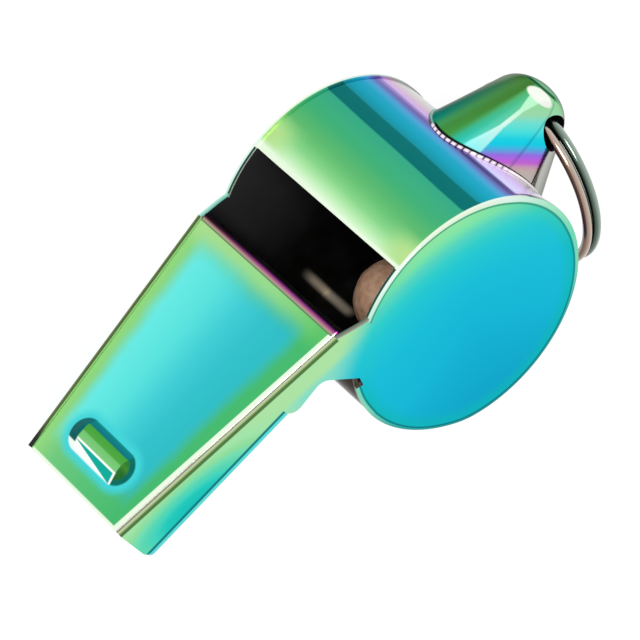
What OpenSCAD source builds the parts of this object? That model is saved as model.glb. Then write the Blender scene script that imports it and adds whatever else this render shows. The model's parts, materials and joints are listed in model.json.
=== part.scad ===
// Pressed-metal pea whistle with a lanyard lug and a split ring.
// It lies on its left side plate: the mouthpiece points to +X, the window faces -Y and the right side
// plate faces up. The origin is on the drum's axis, on the outer face of the left plate.

/* [Drum] */
// Diameter of the drum over the side plates
drum_d = 22; // [19:0.5:28]
// Width of the whistle over both side plates
body_w = 19.2; // [16:0.2:26]
// Thickness of the sheet metal
sheet = 0.45; // [0.35:0.05:0.6]
// How far the side plates stand proud of the barrel wrap
plate_proud = 0.08; // [0.04:0.02:0.3]

/* [Mouthpiece] */
// From the front of the drum to the mouth
mouth_reach = 20; // [15:0.5:30]
// Width at the mouth over the side plates
mouth_w = 12.9; // [11:0.1:15]
// Height at the mouth over top and floor
mouth_h = 4.8; // [4:0.1:6]
// Height at the back end of the floor plate
neck_h = 2.9; // [2.7:0.1:4]
// How far the top plate lies below the crown of the drum
top_drop = 0.53; // [0.2:0.01:1.2]
// From the front of the drum to the back end of the floor plate
floor_back = 4.3; // [3:0.1:7]
// Lap of the wrap's tongue on the floor plate
tongue_lap = 3; // [1.5:0.1:6]
// Radius of the top plate's rolled long edges
edge_roll = 0.75; // [0.5:0.05:1.1]
// Radius of the top plate's turned-down back lip
lip_roll = 0.55; // [0.3:0.05:0.8]

/* [Air path] */
// Height of the slit between the back lip and the tongue
slit_h = 1; // [0.7:0.05:1.2]
// Radius of the wrap's fold at the windway's end, on the middle of the sheet
fold_r = 0.7; // [0.5:0.05:1]
// From the back lip to the blowing edge
window_len = 6.5; // [5:0.1:8]
// From the window's front corner to where the side plate meets the drum
corner_run = 2.7; // [2:0.1:3.4]

/* [Bite stop] */
// Width of the bite stop, across the mouthpiece
stop_w = 7.8; // [6:0.1:8.4]
// Length of the bite stop, along the mouthpiece
stop_l = 3.1; // [2.9:0.05:4]
// Length of the stop's flat top
stop_flat = 1.4; // [1:0.05:1.6]
// How far the top lies toward the drum from the middle of the foot
stop_lean = 0.25; // [0:0.05:0.35]
// Run of the slopes at the stop's two ends
stop_run = 1; // [0.6:0.05:1.4]
// Height of the bite stop
stop_h = 0.55; // [0.3:0.05:0.7]
// From the mouth to the middle of the bite stop
stop_back = 3.7; // [2.8:0.1:8]
// Distance of the stop from the middle of the mouthpiece, toward the right plate
stop_side = -0.45; // [-0.6:0.05:0.6]

/* [Side plate] */
// Radius of the bend beside the window
bend_r = 12; // [8:0.5:16]
// From the window's lower corner to that bend
bend_lead = 0.5; // [0.2:0.1:1]
// From the front of the drum to the inside corner below the neck
neck_lead = 0.35; // [0.1:0.05:1.5]
// Radius in that corner
neck_fillet = 1; // [0.6:0.1:2]
// Angle above the drum's front at which the plate's rim steps in
notch_turn = 21.5; // [16:0.5:26]
// Depth of that step
notch_depth = 0.65; // [0.3:0.05:1]
// How far the step's wall runs up before the neck's slanted edge begins
notch_rise = 1; // [0.5:0.1:1.5]
// How far that wall leans back toward the drum's axis
notch_lean = 0.2; // [0:0.05:0.4]

/* [Lanyard lug] */
// Width of the lug's foot on the drum
foot_d = 11.8; // [10:0.1:14]
// How much further the foot reaches on the drum's underside
foot_low = 1.1; // [0:0.05:1.4]
// How far the foot's flange reaches past the lug
flange_w = 0.35; // [0.2:0.05:0.8]
// How far the flange is set toward the drum's underside
flange_low = 0.3; // [0:0.05:0.5]
// Thickness of the flange
flange_t = 0.3; // [0.2:0.05:0.5]
// From the back of the drum to the middle of the eye
eye_reach = 4.5; // [4:0.1:7]
// Diameter of the eye
eye_d = 2.75; // [2.7:0.05:3.5]
// From the middle of the eye to the tip
tip_reach = 2.6; // [2.4:0.1:3.4]
// Width of the lug across the eye
tip_w = 7.7; // [6.8:0.1:8]
// Height of the lug across the eye
tip_h = 4.8; // [4.6:0.1:5.4]
// Width of the seam along the lug's sides
seam_w = 0.12; // [0.08:0.02:0.3]

/* [Split ring] */
// Outer diameter of the ring
ring_d = 16.3; // [14.5:0.1:20]
// Diameter of the ring's wire
ring_wire = 0.8; // [0.6:0.05:0.85]
// Gap between the ring's two turns
turn_gap = 0.1; // [0.06:0.02:0.15]
// Length of the ring's cross-over, as an angle
cross_turn = 28; // [20:1:40]
// How far the ring hangs off the middle of the lug
ring_shift = 0.1; // [-0.1:0.05:0.1]
// Angle at which the ring hangs, from the mouth's direction toward the drum's underside
ring_hang = 63; // [58:1:180]

/* [Pea] */
// Diameter of the cork pea
pea_d = 7.2; // [6:0.1:8.5]
// Running gap between the pea and the wrap
pea_gap = 0.35; // [0.2:0.05:1]
// Angle of the pea round the drum, from the mouth's direction toward the drum's underside
pea_turn = 65; // [0:1:360]
// Distance of the pea from the middle of the drum's width, toward the right plate
pea_side = -1.2; // [-4:0.1:4]

/* [Hidden] */
$fn = 96;
// Small overlap of cutting shapes past the faces that they cut
past = 0.5;
// Clearance between faces that are soldered together on a curve
solder_gap = 0.02;
// Overlap of the wrap's arc, fold and tongue where they run into each other
run_in = 0.02;
// Gap between the top plate's long walls and the tongue
wall_gap = 0.18;
// Depth of the bite stop's foot in the top plate
stop_sink = sheet / 4;
// Thickness of the discs that the bite stop is drawn between
disc_t = 0.01;
// Straight lengths in a small arc, and in a fan
arc_steps = 6;
fan_steps = 12;

drum_r = drum_d / 2;
mid_z = body_w / 2;
wrap_r = drum_r - plate_proud;
wrap_mid_r = wrap_r - sheet / 2;

// Heights are measured from the drum's axis toward the window.
top_h = drum_r - top_drop;
mouth_x = drum_r + mouth_reach;
floor_x = drum_r + floor_back;
floor_slope = (mouth_h - neck_h) / (mouth_x - floor_x);
floor_rise = sheet / cos(atan(floor_slope));
tongue_h = top_h - neck_h + floor_rise;
windway_h = neck_h - floor_rise - sheet;
edge_drop = windway_h - wall_gap;
lip_drop = windway_h - slit_h;

// The wrap leaves the drum's circle at fold_turn and folds forward into the tongue.
fold_turn = asin((tongue_h + sheet / 2 - fold_r) / (wrap_mid_r + fold_r));
fold_x = (wrap_mid_r + fold_r) * cos(fold_turn);
fold_h = tongue_h + sheet / 2 - fold_r;
top_back_x = fold_x - fold_r;
window_x = top_back_x + lip_roll;
corner_x = window_x - corner_run;
edge_turn = acos((top_back_x - window_len) / wrap_r);

// The side plates bend inward beside the window and run straight to the mouth.
bend_x = corner_x + bend_lead;
taper = atan((body_w - mouth_w) / 2 / (mouth_x - bend_x));

foot_r = foot_d / 2;
foot_x = sqrt(wrap_r * wrap_r - foot_r * foot_r);
eye_x = drum_r + eye_reach;

ring_r = (ring_d - ring_wire) / 2;
turn_pitch = ring_wire + turn_gap;
eye_wall = tip_w / 2 - sheet;
ring_reach = sqrt(ring_r * ring_r - eye_wall * eye_wall);

pea_orbit = wrap_r - sheet - pea_d / 2 - pea_gap;

// Height of the floor plate's upper face at x
function floor_top(x) = tongue_h - floor_slope * (x - floor_x);

// Points of an arc round a centre
function arc(centre, r, from, to, steps) =
    [for (i = [0:steps])
        let (turn = from + (to - from) * i / steps)
        centre + r * [cos(turn), sin(turn)]];

// Line of a side plate in plan, as x and z, at a depth below its outer face
function plate_line(depth) = concat(
    [[-drum_r - past, depth]],
    arc([bend_x - bend_r * tan(taper / 2), bend_r], bend_r - depth, -90, -90 + taper, arc_steps),
    [[mouth_x + past, (mouth_x + past - bend_x) * tan(taper) + depth / cos(taper)]]);

function reversed(list) = [for (i = [len(list) - 1:-1:0]) list[i]];
function opposite(list) = [for (p = list) [p[0], body_w - p[1]]];

// A profile drawn with x toward the mouth and y toward the window, as a solid from z = from to z = to
module across(from, to) {
    translate([0, 0, from])
        linear_extrude(to - from)
            mirror([0, 1])
                children();
}

// A plan drawn in x and z, as a solid over the whole height of the whistle
module plan() {
    translate([0, 2 * drum_r, 0])
        rotate([90, 0, 0])
            linear_extrude(4 * drum_r)
                children();
}

// The space between the two side plates, drawn in by a margin on each side
module between_plates(margin) {
    line = plate_line(margin);
    plan()
        polygon(concat(line, reversed(opposite(line))));
}

// A part of the plane between two angles round the drum's axis, seen as a fan
module fan(centre, r, from, to) {
    translate(centre)
        polygon(concat([[0, 0]], arc([0, 0], r, from, to, fan_steps)));
}

// A strip of sheet bent along an arc
module bent_strip(centre, mid_r, from, to) {
    intersection() {
        translate(centre)
            difference() {
                circle(mid_r + sheet / 2);
                circle(mid_r - sheet / 2);
            }
        fan(centre, 2 * mid_r + sheet, from, to);
    }
}

module plate_outline() {
    root = (drum_r - notch_depth) * [cos(notch_turn), sin(notch_turn)];
    shoulder = root + [-notch_lean, notch_rise];
    corner = [drum_r + neck_lead, top_h - neck_h];
    lean = atan2(corner[1] - shoulder[1], corner[0] - shoulder[0]);
    leg = neck_fillet * tan(lean / 2);
    // Share of the neck's slanted edge that the step in the rim runs along
    step_share = 0.6;
    difference() {
        union() {
            circle(drum_r);
            polygon(concat(
                [root, shoulder],
                arc(corner + [leg, -neck_fillet], neck_fillet, 90 + lean, 90, arc_steps),
                [[floor_x, top_h - neck_h],
                 [floor_x, floor_top(floor_x)],
                 [mouth_x, floor_top(mouth_x)],
                 [mouth_x, top_h],
                 [window_x, top_h],
                 [corner_x, sqrt(drum_r * drum_r - corner_x * corner_x)],
                 [0, 0]]));
        }
        // The rim steps in here and leaves the wrap's outside open to view.
        polygon([root,
                 root * (drum_r + past) / (drum_r - notch_depth),
                 [drum_r + past, corner[1] - neck_fillet],
                 shoulder + step_share * (corner - shoulder),
                 shoulder]);
    }
}

module side_plate() {
    intersection() {
        across(0, mid_z)
            plate_outline();
        plan()
            polygon(concat(plate_line(0), reversed(plate_line(sheet))));
    }
}

module left_side_plate() {
    color("mediumturquoise")
        side_plate();
}

module right_side_plate() {
    color("deepskyblue")
        translate([0, 0, body_w])
            mirror([0, 0, 1])
                side_plate();
}

// Strip round the drum, from the blowing edge to the fold, with a tongue along the windway
module barrel_wrap() {
    lap_x = floor_x + tongue_lap;
    tongue_x = fold_x - run_in;
    run_in_turn = asin(run_in / wrap_mid_r);
    color("mediumseagreen")
        intersection() {
            across(0, body_w) {
                bent_strip([0, 0], wrap_mid_r, edge_turn, 360 + fold_turn + run_in_turn);
                bent_strip([fold_x, fold_h], fold_r, 90, 180 + fold_turn);
                polygon([[tongue_x, tongue_h],
                         [floor_x, tongue_h],
                         [lap_x, floor_top(lap_x)],
                         [lap_x, floor_top(lap_x) + sheet],
                         [floor_x, tongue_h + sheet],
                         [tongue_x, tongue_h + sheet]]);
            }
            between_plates(sheet);
        }
}

// Flat plate under the windway, whose long edges carry the side plates
module mouthpiece_floor() {
    color("turquoise")
        intersection() {
            across(0, body_w)
                polygon([[floor_x, floor_top(floor_x)],
                         [floor_x, floor_top(floor_x) - floor_rise],
                         [mouth_x, floor_top(mouth_x) - floor_rise],
                         [mouth_x, floor_top(mouth_x)]]);
            between_plates(0);
        }
}

// Two round ends of a stadium across the mouthpiece, as thin discs
module stadium_ends(width, length) {
    for (side = [-1, 1])
        translate([0, 0, side * (width - length) / 2])
            rotate([-90, 0, 0])
                cylinder(h = disc_t, d = length, $fn = 48);
}

// Raised stadium with sloping walls, steeper toward the drum, whose foot is sunk below the given height
module bite_stop(foot_h) {
    translate([mouth_x - stop_back, -foot_h, mid_z + stop_side])
        hull() {
            translate([0, stop_sink, 0])
                stadium_ends(stop_w, stop_l);
            translate([-stop_lean, -stop_h, 0])
                stadium_ends(stop_w - 2 * stop_run, stop_flat);
        }
}

// What a rolled edge takes off the top plate's long side next to the left plate
module edge_cutter() {
    length = mouth_x - bend_x + 2 * past;
    translate([bend_x, -top_h, sheet / cos(taper)])
        rotate([0, -taper, 0])
            difference() {
                translate([0, -past, -past])
                    cube([length, edge_roll + past, edge_roll + past]);
                translate([-past, edge_roll, edge_roll])
                    rotate([0, 90, 0])
                        cylinder(h = length + 2 * past, r = edge_roll);
            }
}

// What the turned-down lip takes off the top plate's back edge
module lip_cutter() {
    across(0, body_w)
        difference() {
            translate([top_back_x - past, top_h - lip_roll])
                square(lip_roll + past);
            translate([top_back_x + lip_roll, top_h - lip_roll])
                circle(lip_roll);
        }
}

// Pressed tray with rolled long edges, a turned-down back lip and the bite stop
module mouthpiece_top() {
    color("darkturquoise")
        difference() {
            union() {
                intersection() {
                    across(0, body_w)
                        polygon([[top_back_x, top_h],
                                 [top_back_x, top_h - lip_drop],
                                 [window_x + sheet, top_h - lip_drop],
                                 [window_x + sheet, top_h - edge_drop],
                                 [mouth_x, top_h - edge_drop],
                                 [mouth_x, top_h]]);
                    between_plates(sheet);
                }
                bite_stop(top_h);
            }
            intersection() {
                across(0, body_w)
                    translate([top_back_x + sheet, 0])
                        square([mouth_x - top_back_x, top_h - sheet]);
                between_plates(2 * sheet);
            }
            bite_stop(top_h - sheet);
            edge_cutter();
            translate([0, 0, body_w])
                mirror([0, 0, 1])
                    edge_cutter();
            lip_cutter();
        }
}

// Outline of the lug's foot, grown by a margin, as a prism along the x axis
module foot_prism(from, length, margin) {
    translate([from, foot_low / 2, 0])
        rotate([0, 90, 0])
            linear_extrude(length)
                scale([foot_r + margin, foot_r + foot_low / 2 + margin])
                    circle(1, $fn = 48);
}

// Outside of the lug, drawn in by a margin
module lug_form(margin) {
    translate([0, 0, mid_z])
        hull() {
            foot_prism(-foot_x, past, -margin);
            translate([-eye_x, 0, 0])
                scale([tip_reach - margin, tip_h / 2 - margin, tip_w / 2 - margin])
                    sphere(1, $fn = 32);
        }
}

// Hollow hood of sheet, folded at its tip and seamed along its sides, on a narrow flange
module lanyard_lug() {
    color("seagreen")
        difference() {
            union() {
                lug_form(0);
                intersection() {
                    translate([0, flange_low, mid_z])
                        foot_prism(-2 * drum_r, 2 * drum_r, flange_w);
                    cylinder(h = body_w, r = wrap_r + flange_t);
                }
            }
            lug_form(sheet);
            translate([0, 0, -past])
                cylinder(h = body_w + 2 * past, r = wrap_r + solder_gap);
            translate([-eye_x, 0, 0])
                cylinder(h = body_w, d = eye_d);
            translate([-eye_x, -seam_w / 2, 0])
                cube([eye_x - drum_r + past, seam_w, body_w]);
        }
}

// Height of the wire along the ring's axis, at an angle along its two turns
function wire_height(turn) = turn < 360 - cross_turn ? -turn_pitch / 2
    : turn > 360 ? turn_pitch / 2
    : turn_pitch / 2 * cos(180 * (360 - turn) / cross_turn);

// Wire of two turns in one length, which crosses from the lower to the upper turn
module coil() {
    sides = 10;
    steps = 80;
    points = [for (i = [0:steps], k = [0:sides - 1])
        let (turn = (720 - cross_turn) * i / steps,
             round = 360 * k / sides,
             reach = ring_r + ring_wire / 2 * cos(round))
        [reach * cos(turn), reach * sin(turn), wire_height(turn) + ring_wire / 2 * sin(round)]];
    walls = [for (i = [0:steps - 1], k = [0:sides - 1], half = [0, 1])
        let (a = i * sides + k,
             b = i * sides + (k + 1) % sides)
        half == 0 ? [a, b, b + sides] : [a, b + sides, a + sides]];
    polyhedron(points, concat(
        [[for (k = [sides - 1:-1:0]) k]],
        walls,
        [[for (k = [0:sides - 1]) steps * sides + k]]));
}

module split_ring() {
    color("silver")
        translate([-eye_x, 0, mid_z + ring_shift])
            rotate([0, 0, ring_hang])
                translate([ring_reach, 0, 0])
                    rotate([90, 0, 0])
                        coil();
}

// Loose ball in the drum
module cork_pea() {
    color("peru")
        rotate([0, 0, pea_turn])
            translate([pea_orbit, 0, mid_z + pea_side])
                sphere(d = pea_d);
}

right_side_plate();
left_side_plate();
barrel_wrap();
mouthpiece_floor();
mouthpiece_top();
lanyard_lug();
split_ring();
cork_pea();
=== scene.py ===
"""Signal whistle: modelled sheet pieces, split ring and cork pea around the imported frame."""

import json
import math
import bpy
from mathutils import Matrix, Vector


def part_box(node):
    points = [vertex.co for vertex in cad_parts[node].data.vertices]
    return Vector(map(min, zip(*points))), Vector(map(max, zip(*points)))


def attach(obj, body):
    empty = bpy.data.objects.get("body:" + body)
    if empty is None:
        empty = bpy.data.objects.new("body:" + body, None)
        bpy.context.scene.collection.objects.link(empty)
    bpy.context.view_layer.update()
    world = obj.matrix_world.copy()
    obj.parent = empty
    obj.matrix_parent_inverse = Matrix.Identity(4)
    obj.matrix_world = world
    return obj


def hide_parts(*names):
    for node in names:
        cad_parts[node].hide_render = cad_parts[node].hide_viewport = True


bl_info = {
    "name": "Signal whistle",
    "version": (1, 0, 0),
    "blender": (4, 5, 0),
    "location": "View3D > Sidebar > Whistle",
    "description": "Models a pressed-sheet pea whistle with a rainbow oxide film",
    "category": "Add Mesh",
}

from types import SimpleNamespace

import bmesh
import bpy
from mathutils import Vector
from mathutils.geometry import intersect_line_line_2d

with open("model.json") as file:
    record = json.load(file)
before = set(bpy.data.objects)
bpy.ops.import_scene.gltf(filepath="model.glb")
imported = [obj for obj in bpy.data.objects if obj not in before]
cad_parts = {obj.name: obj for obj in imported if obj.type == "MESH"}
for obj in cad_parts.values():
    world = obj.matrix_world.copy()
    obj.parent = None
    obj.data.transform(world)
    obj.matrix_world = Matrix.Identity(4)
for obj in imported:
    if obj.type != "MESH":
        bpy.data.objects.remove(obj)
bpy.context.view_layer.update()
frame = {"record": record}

MM = 0.001
# In millimetres: points within TINY are one point, and what lies within NEAR of a line is on it
TINY = 0.002
NEAR = 0.05
# Edges that turn by more than this, in radians, are sheared corners
SHARP = 1.0
PLATE_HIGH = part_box("right_side_plate")[1]
PEA_LOW, PEA_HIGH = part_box("cork_pea")
RING_MOUNT = next(mount for mount in frame["record"]["mounts"] if mount["name"] == "lanyard_ring")
RING_MIDDLE = Vector(RING_MOUNT["pos_m"]) / MM
RING_AXIS = RING_MOUNT["axis"]

# The setting that the second word of a node's kind stands for
MODES = {"Math": "operation", "VectorMath": "operation",
         "MapRange": "interpolation_type", "Mix": "data_type"}
# Input numbers of the Mix node in its colour mode
MIX_FACTOR, MIX_A, MIX_B = 0, 6, 7

# Places in millimetres and turns in degrees; the camera is fitted to the photograph's outline
CAMERA_PLACE = (9.3161, -288.1947, 227.5308)
CAMERA_TURN = (-41.3244, -36.3012, 146.2861)
CAMERA_LENS, CAMERA_SENSOR = 253.125, 36
SOFTBOX_PLACE = (6, -360, 280)

BLACK = (0.0, 0.0, 0.0, 1.0)
WHITE = (1.0, 1.0, 1.0, 1.0)
# How much a surface whitens at a glancing angle: the film keeps its colour, bare steel doesn't
FILM_GLANCE = (0.65, 0.65, 0.65, 1.0)
FOLD_GLANCE = (0.4, 0.4, 0.4, 1.0)
STEEL_GLANCE = WHITE


def linear(code):
    """The linear RGBA colour of an sRGB hex code; a value that is no code stays as it is."""
    if not isinstance(code, str):
        return code
    parts = [int(code[i:i + 2], 16) / 255 for i in (1, 3, 5)]
    return (*(c / 12.92 if c <= 0.04045 else ((c + 0.055) / 1.055) ** 2.4 for c in parts), 1.0)


def length(name, size, note):
    """A length property, given in millimetres."""
    return bpy.props.FloatProperty(
        name=name, description=note, default=size * MM, unit="LENGTH", precision=5)


def angle(name, degrees, note):
    """An angle property, given in degrees."""
    return bpy.props.FloatProperty(
        name=name, description=note, default=math.radians(degrees), subtype="ANGLE")


def tint(name, code, note):
    """A colour property, given as an sRGB hex code."""
    return bpy.props.FloatVectorProperty(
        name=name, description=note, size=4, subtype="COLOR", min=0, max=1, default=linear(code))


class WhistleSizes(bpy.types.PropertyGroup):
    """Lengths and angles of the whistle's pieces."""

    drum_d: length("Drum diameter", 22, "Outside diameter of the side plates' discs")
    body_w: length("Body width", PLATE_HIGH.z / MM, "Width over both side plates at the drum")
    sheet: length("Sheet", 0.45, "Thickness of the sheet metal")
    plate_proud: length("Plate rim", 0.08, "How far the side plates stand out past the wrap")
    mouth_x: length("Mouth", PLATE_HIGH.x / MM, "Distance of the mouth's end from the drum's axis")
    mouth_w: length("Mouth width", 12.9, "Width over both side plates at the mouth")
    front_r: length("Front corner", 0.6, "Radius of the lower corners at the mouth")
    mouth_h: length("Mouth height", 4.8, "Height of the mouthpiece at its end")
    neck_h: length("Neck height", 2.9, "Height of the mouthpiece at the neck")
    top_drop: length("Top drop", 0.53, "How far the mouthpiece's top lies below the drum's highest line")
    floor_back: length("Floor start", 4.3, "Distance from the drum's rim to the floor plate's back end")
    tongue_lap: length("Tongue lap", 3, "Length of the wrap's tongue under the floor plate")
    fold_r: length("Fold radius", 0.7, "Middle radius of the wrap's fold at the neck")
    window_len: length("Window", 6.5, "Length of the window from the lip to the blowing edge")
    corner_run: length("Corner run", 2.7, "Length of the plates' slope beside the window")
    edge_roll: length("Edge roll", 0.45, "Radius of the roll along the mouthpiece's top right edge")
    lip_roll: length("Lip roll", 0.55, "Radius of the turned lip at the window")
    tab_r: length("Tab radius", 0.9, "Radius of the side plates' lower corner at the neck")
    tab_slope: angle("Tab slope", 15, "Climb of the side plates' lower edge from that corner to the neck")
    tray_gap: length("Tray gap", 0.015, "Gap between the tray's walls and the side plates")
    wall_gap: length("Wall gap", 0.18, "Gap below the walls of the mouthpiece's top")
    slit_h: length("Slit", 1, "Height of the slit that the air leaves the windway by")
    rim_roll: length("Rim roll", 0.42, "Radius of the side plates' rounded rims")
    edge_ease: length("Eased edge", 0.12, "Width of the small bevel on sheet edges")
    bend_r: length("Bend radius", 12, "Radius of the side plates' bend at the neck")
    bend_lead: length("Bend lead", 0.5, "Distance from the corner beside the window to the bend")
    notch_turn: angle("Notch", 21.5, "Angle of the notch between drum and neck")
    notch_depth: length("Notch depth", 0.65, "Depth of that notch in the rim")
    notch_rise: length("Notch rise", 1, "Height of the notch's back wall")
    notch_lean: length("Notch lean", 0.2, "How far the notch's back wall leans")
    neck_lead: length("Neck lead", 0.35, "Distance from the rim to the neck's corner")
    neck_fillet: length("Neck fillet", 1, "Radius of the neck's corner")
    stop_w: length("Bite stop width", 7.8, "Width of the bite stop")
    stop_l: length("Bite stop length", 3.1, "Length of the bite stop along the mouthpiece")
    stop_flat: length("Bite stop ridge", 1.4, "Length of the bite stop's flat top")
    stop_lean: length("Bite stop lean", 0.25, "How far its flat top sits off its middle")
    stop_h: length("Bite stop height", 0.55, "Height of the bite stop")
    stop_run: length("Bite stop run", 1, "Slope of the bite stop's ends")
    stop_back: length("Bite stop place", 3.7, "Distance of the bite stop's middle from the mouth")
    stop_side: length("Bite stop offset", -0.45, "Offset of the bite stop from the middle")
    foot_d: length("Lug foot", 12.2, "Width of the lug where it meets the drum")
    foot_low: length("Lug foot depth", 1.1, "How much further down the lug's foot reaches")
    flange_w: length("Flange", 0.16, "Width of the flange round the lug's foot")
    flange_low: length("Flange depth", 0.12, "How much further down the flange reaches")
    flange_t: length("Flange thickness", 0.2, "Thickness of that flange")
    eye_x: length("Eye", -15.5, "Place of the eye along the whistle")
    eye_d: length("Eye diameter", 2.75, "Diameter of the eye")
    tip_reach: length("Tip reach", 2.6, "How far the lug's tip stands out past the eye's middle")
    tip_w: length("Tip width", 7.7, "Width of the lug at the eye")
    tip_h: length("Tip height", 4.8, "Height of the lug at the eye")
    seam_w: length("Seam", 0.12, "Width of the open seam down the lug's flanks")
    ring_d: length("Ring", 16.3, "Outside diameter of the split ring")
    wire: length("Wire", 0.8, "Thickness of the ring's wire")
    turn_gap: length("Turn gap", 0.1, "Gap between the ring's two turns")
    cross_turn: angle("Cross-over", 28, "Angle over which the ring steps from one turn to the other")
    ring_hang: angle("Ring hang", 63, "Direction of the ring's middle from the eye")
    pea_d: length("Pea", (PEA_HIGH.x - PEA_LOW.x) / MM, "Diameter of the cork pea")


class WhistleColours(bpy.types.PropertyGroup):
    """Main colours of the film, the steel, the cork and the stage."""

    plate_blue: tint("Plate blue", "#0fb9d9", "Middle of the side plates")
    plate_green: tint("Plate green", "#84e6ab", "Side plates near the window")
    top_cyan: tint("Top cyan", "#40c8cf", "Middle of the mouthpiece's top")
    wrap_green: tint("Wrap green", "#5bb56e", "Wrap behind the blowing edge")
    wrap_violet: tint("Wrap violet", "#6f57a5", "Violet band of the wrap")
    # The colour of the painted highlights on the rolled edges, the rims, the front edges and the blowing
    # edge
    rubbed: tint("Rubbed edge", "#e6f5de", "Edges where the film has worn to the steel")
    steel: tint("Ring steel", "#c9c5c0", "Nickelled wire of the split ring")
    cork: tint("Cork", "#ecb894", "Turned cork of the pea")
    # The dark inside colour is painted shade for the hollow drum and mouthpiece
    inside: tint("Inside", "#242424", "Sooty inner side of the sheets")
    floor: tint("Floor", "#6a6a6a", "Studio panel, which also glows white")


def millimetres(group):
    """The group's values as plain numbers: lengths in millimetres, angles in radians."""
    found = SimpleNamespace()
    for name in group.__annotations__:
        is_angle = group.bl_rna.properties[name].subtype == "ANGLE"
        setattr(found, name, getattr(group, name) / (1 if is_angle else MM))
    return found


def whistle_shape():
    """The sizes, with places that follow from them; h runs from the drum's axis towards the window."""
    s = millimetres(bpy.context.scene.whistle_sizes)
    s.drum_r = s.drum_d / 2
    s.wrap_r = s.drum_r - s.plate_proud
    s.mid = s.body_w / 2
    s.top_h = s.drum_r - s.top_drop
    s.floor_x = s.drum_r + s.floor_back
    s.slope = (s.mouth_h - s.neck_h) / (s.mouth_x - s.floor_x)
    s.tongue_h = s.top_h - s.neck_h + s.sheet / math.cos(math.atan(s.slope))
    s.wrap_mid_r = s.wrap_r - s.sheet / 2
    s.fold_turn = math.asin((s.tongue_h + s.sheet / 2 - s.fold_r) / (s.wrap_mid_r + s.fold_r))
    s.fold_x = (s.wrap_mid_r + s.fold_r) * math.cos(s.fold_turn)
    s.fold_h = (s.wrap_mid_r + s.fold_r) * math.sin(s.fold_turn)
    s.top_back_x = s.fold_x - s.fold_r
    s.window_x = s.top_back_x + s.lip_roll
    s.corner_x = s.window_x - s.corner_run
    s.edge_turn = math.acos((s.top_back_x - s.window_len) / s.wrap_r)
    s.bend_x = s.corner_x + s.bend_lead
    s.taper = math.atan((s.body_w - s.mouth_w) / 2 / (s.mouth_x - s.bend_x))
    s.windway_h = s.top_h - s.tongue_h - s.sheet
    s.foot_r = s.foot_d / 2
    s.foot_x = math.sqrt(s.wrap_r ** 2 - s.foot_r ** 2)
    s.ring_r = (s.ring_d - s.wire) / 2
    s.turn_pitch = s.wire + s.turn_gap
    return s


def floor_line(s, x):
    """Height of the mouthpiece floor's upper face at x."""
    return s.tongue_h - s.slope * (x - s.floor_x)


def outer_half(s, x):
    """Half the width over the side plates at x."""
    return s.mid - max(0, x - s.bend_x) * math.tan(s.taper)


def inner_half(s, x):
    """Half the room between the side plates at x."""
    return outer_half(s, x) - s.sheet / math.cos(s.taper)


# Modelling steps shared by the pieces, drawn in millimetres

def only(*pieces):
    """Leaves edit mode and selects these pieces alone, with the first one active."""
    bpy.ops.object.mode_set(mode="OBJECT")
    bpy.ops.object.select_all(action="DESELECT")
    for piece in pieces:
        piece.select_set(True)
    if pieces:
        bpy.context.view_layer.objects.active = pieces[0]


def begin(name, kind):
    """Names the new piece, applies its place and opens it in edit mode with everything selected."""
    piece = bpy.context.object
    piece.name = name
    piece.data.name = name
    bpy.ops.object.transform_apply(location=True, rotation=True, scale=True)
    edit()
    bpy.ops.mesh.select_mode(type=kind)
    bpy.ops.mesh.select_all(action="SELECT")
    return piece


def start_point(name, place):
    """A new piece in edit mode that is one vertex at place."""
    only()
    bpy.ops.mesh.primitive_plane_add(size=1, location=(0, 0, 0))
    piece = begin(name, "VERT")
    bpy.ops.mesh.merge(type="CENTER")
    bpy.ops.transform.translate(value=place)
    return piece


def start_circle(name, vertices, radius, place, rotation):
    """A new piece in edit mode that is one open circle at place."""
    only()
    bpy.ops.mesh.primitive_circle_add(vertices=vertices, radius=radius, location=place, rotation=rotation)
    return begin(name, "EDGE")


def edited():
    """The mesh in edit mode."""
    return bmesh.from_edit_mesh(bpy.context.object.data)


def middle(item):
    """The middle of a vertex, edge or face."""
    points = [item] if isinstance(item, bmesh.types.BMVert) else item.verts
    return sum((v.co for v in points), Vector()) / len(points)


def select(kind, test):
    """Selects the vertices, edges or faces that pass a test, and nothing else."""
    bpy.ops.mesh.select_mode(type=kind)
    bpy.ops.mesh.select_all(action="DESELECT")
    mesh = edited()
    items = {"VERT": mesh.verts, "EDGE": mesh.edges, "FACE": mesh.faces}[kind]
    chosen = [item for item in items if test(item)]
    if not chosen:
        raise RuntimeError("nothing to select on " + bpy.context.object.name)
    for item in chosen:
        item.select_set(True)
    bmesh.update_edit_mesh(bpy.context.object.data)


def line_to(place):
    """Extrudes the selected end of a line to place."""
    end = next(v.co.copy() for v in edited().verts if v.select)
    bpy.ops.mesh.extrude_region_move(TRANSFORM_OT_translate={"value": Vector(place) - end})


def arc(centre, turn, steps):
    """Spins what is selected by turn, in radians, round centre; the operator turns the other way."""
    bpy.ops.mesh.spin(steps=steps, angle=-turn, center=centre, axis=(0, 0, 1))


def close_outline(outward):
    """Joins the line's ends and fills it with one face that looks outward."""
    bpy.ops.mesh.select_all(action="SELECT")
    bpy.ops.mesh.remove_doubles(threshold=TINY)
    bpy.ops.mesh.edge_face_add()
    if next(iter(edited().faces)).normal.dot(Vector(outward)) < 0:
        bpy.ops.mesh.flip_normals()


def turn_outward(pick, way):
    """Merges doubles and turns the faces alike, so that the face that pick chooses looks along way."""
    bpy.ops.mesh.select_all(action="SELECT")
    bpy.ops.mesh.remove_doubles(threshold=TINY)
    bpy.ops.mesh.normals_make_consistent(inside=False)
    if pick(edited().faces).normal.dot(Vector(way)) < 0:
        bpy.ops.mesh.flip_normals()


def hindmost(faces):
    """The face furthest towards the lug."""
    return min(faces, key=lambda face: middle(face).x)


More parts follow.
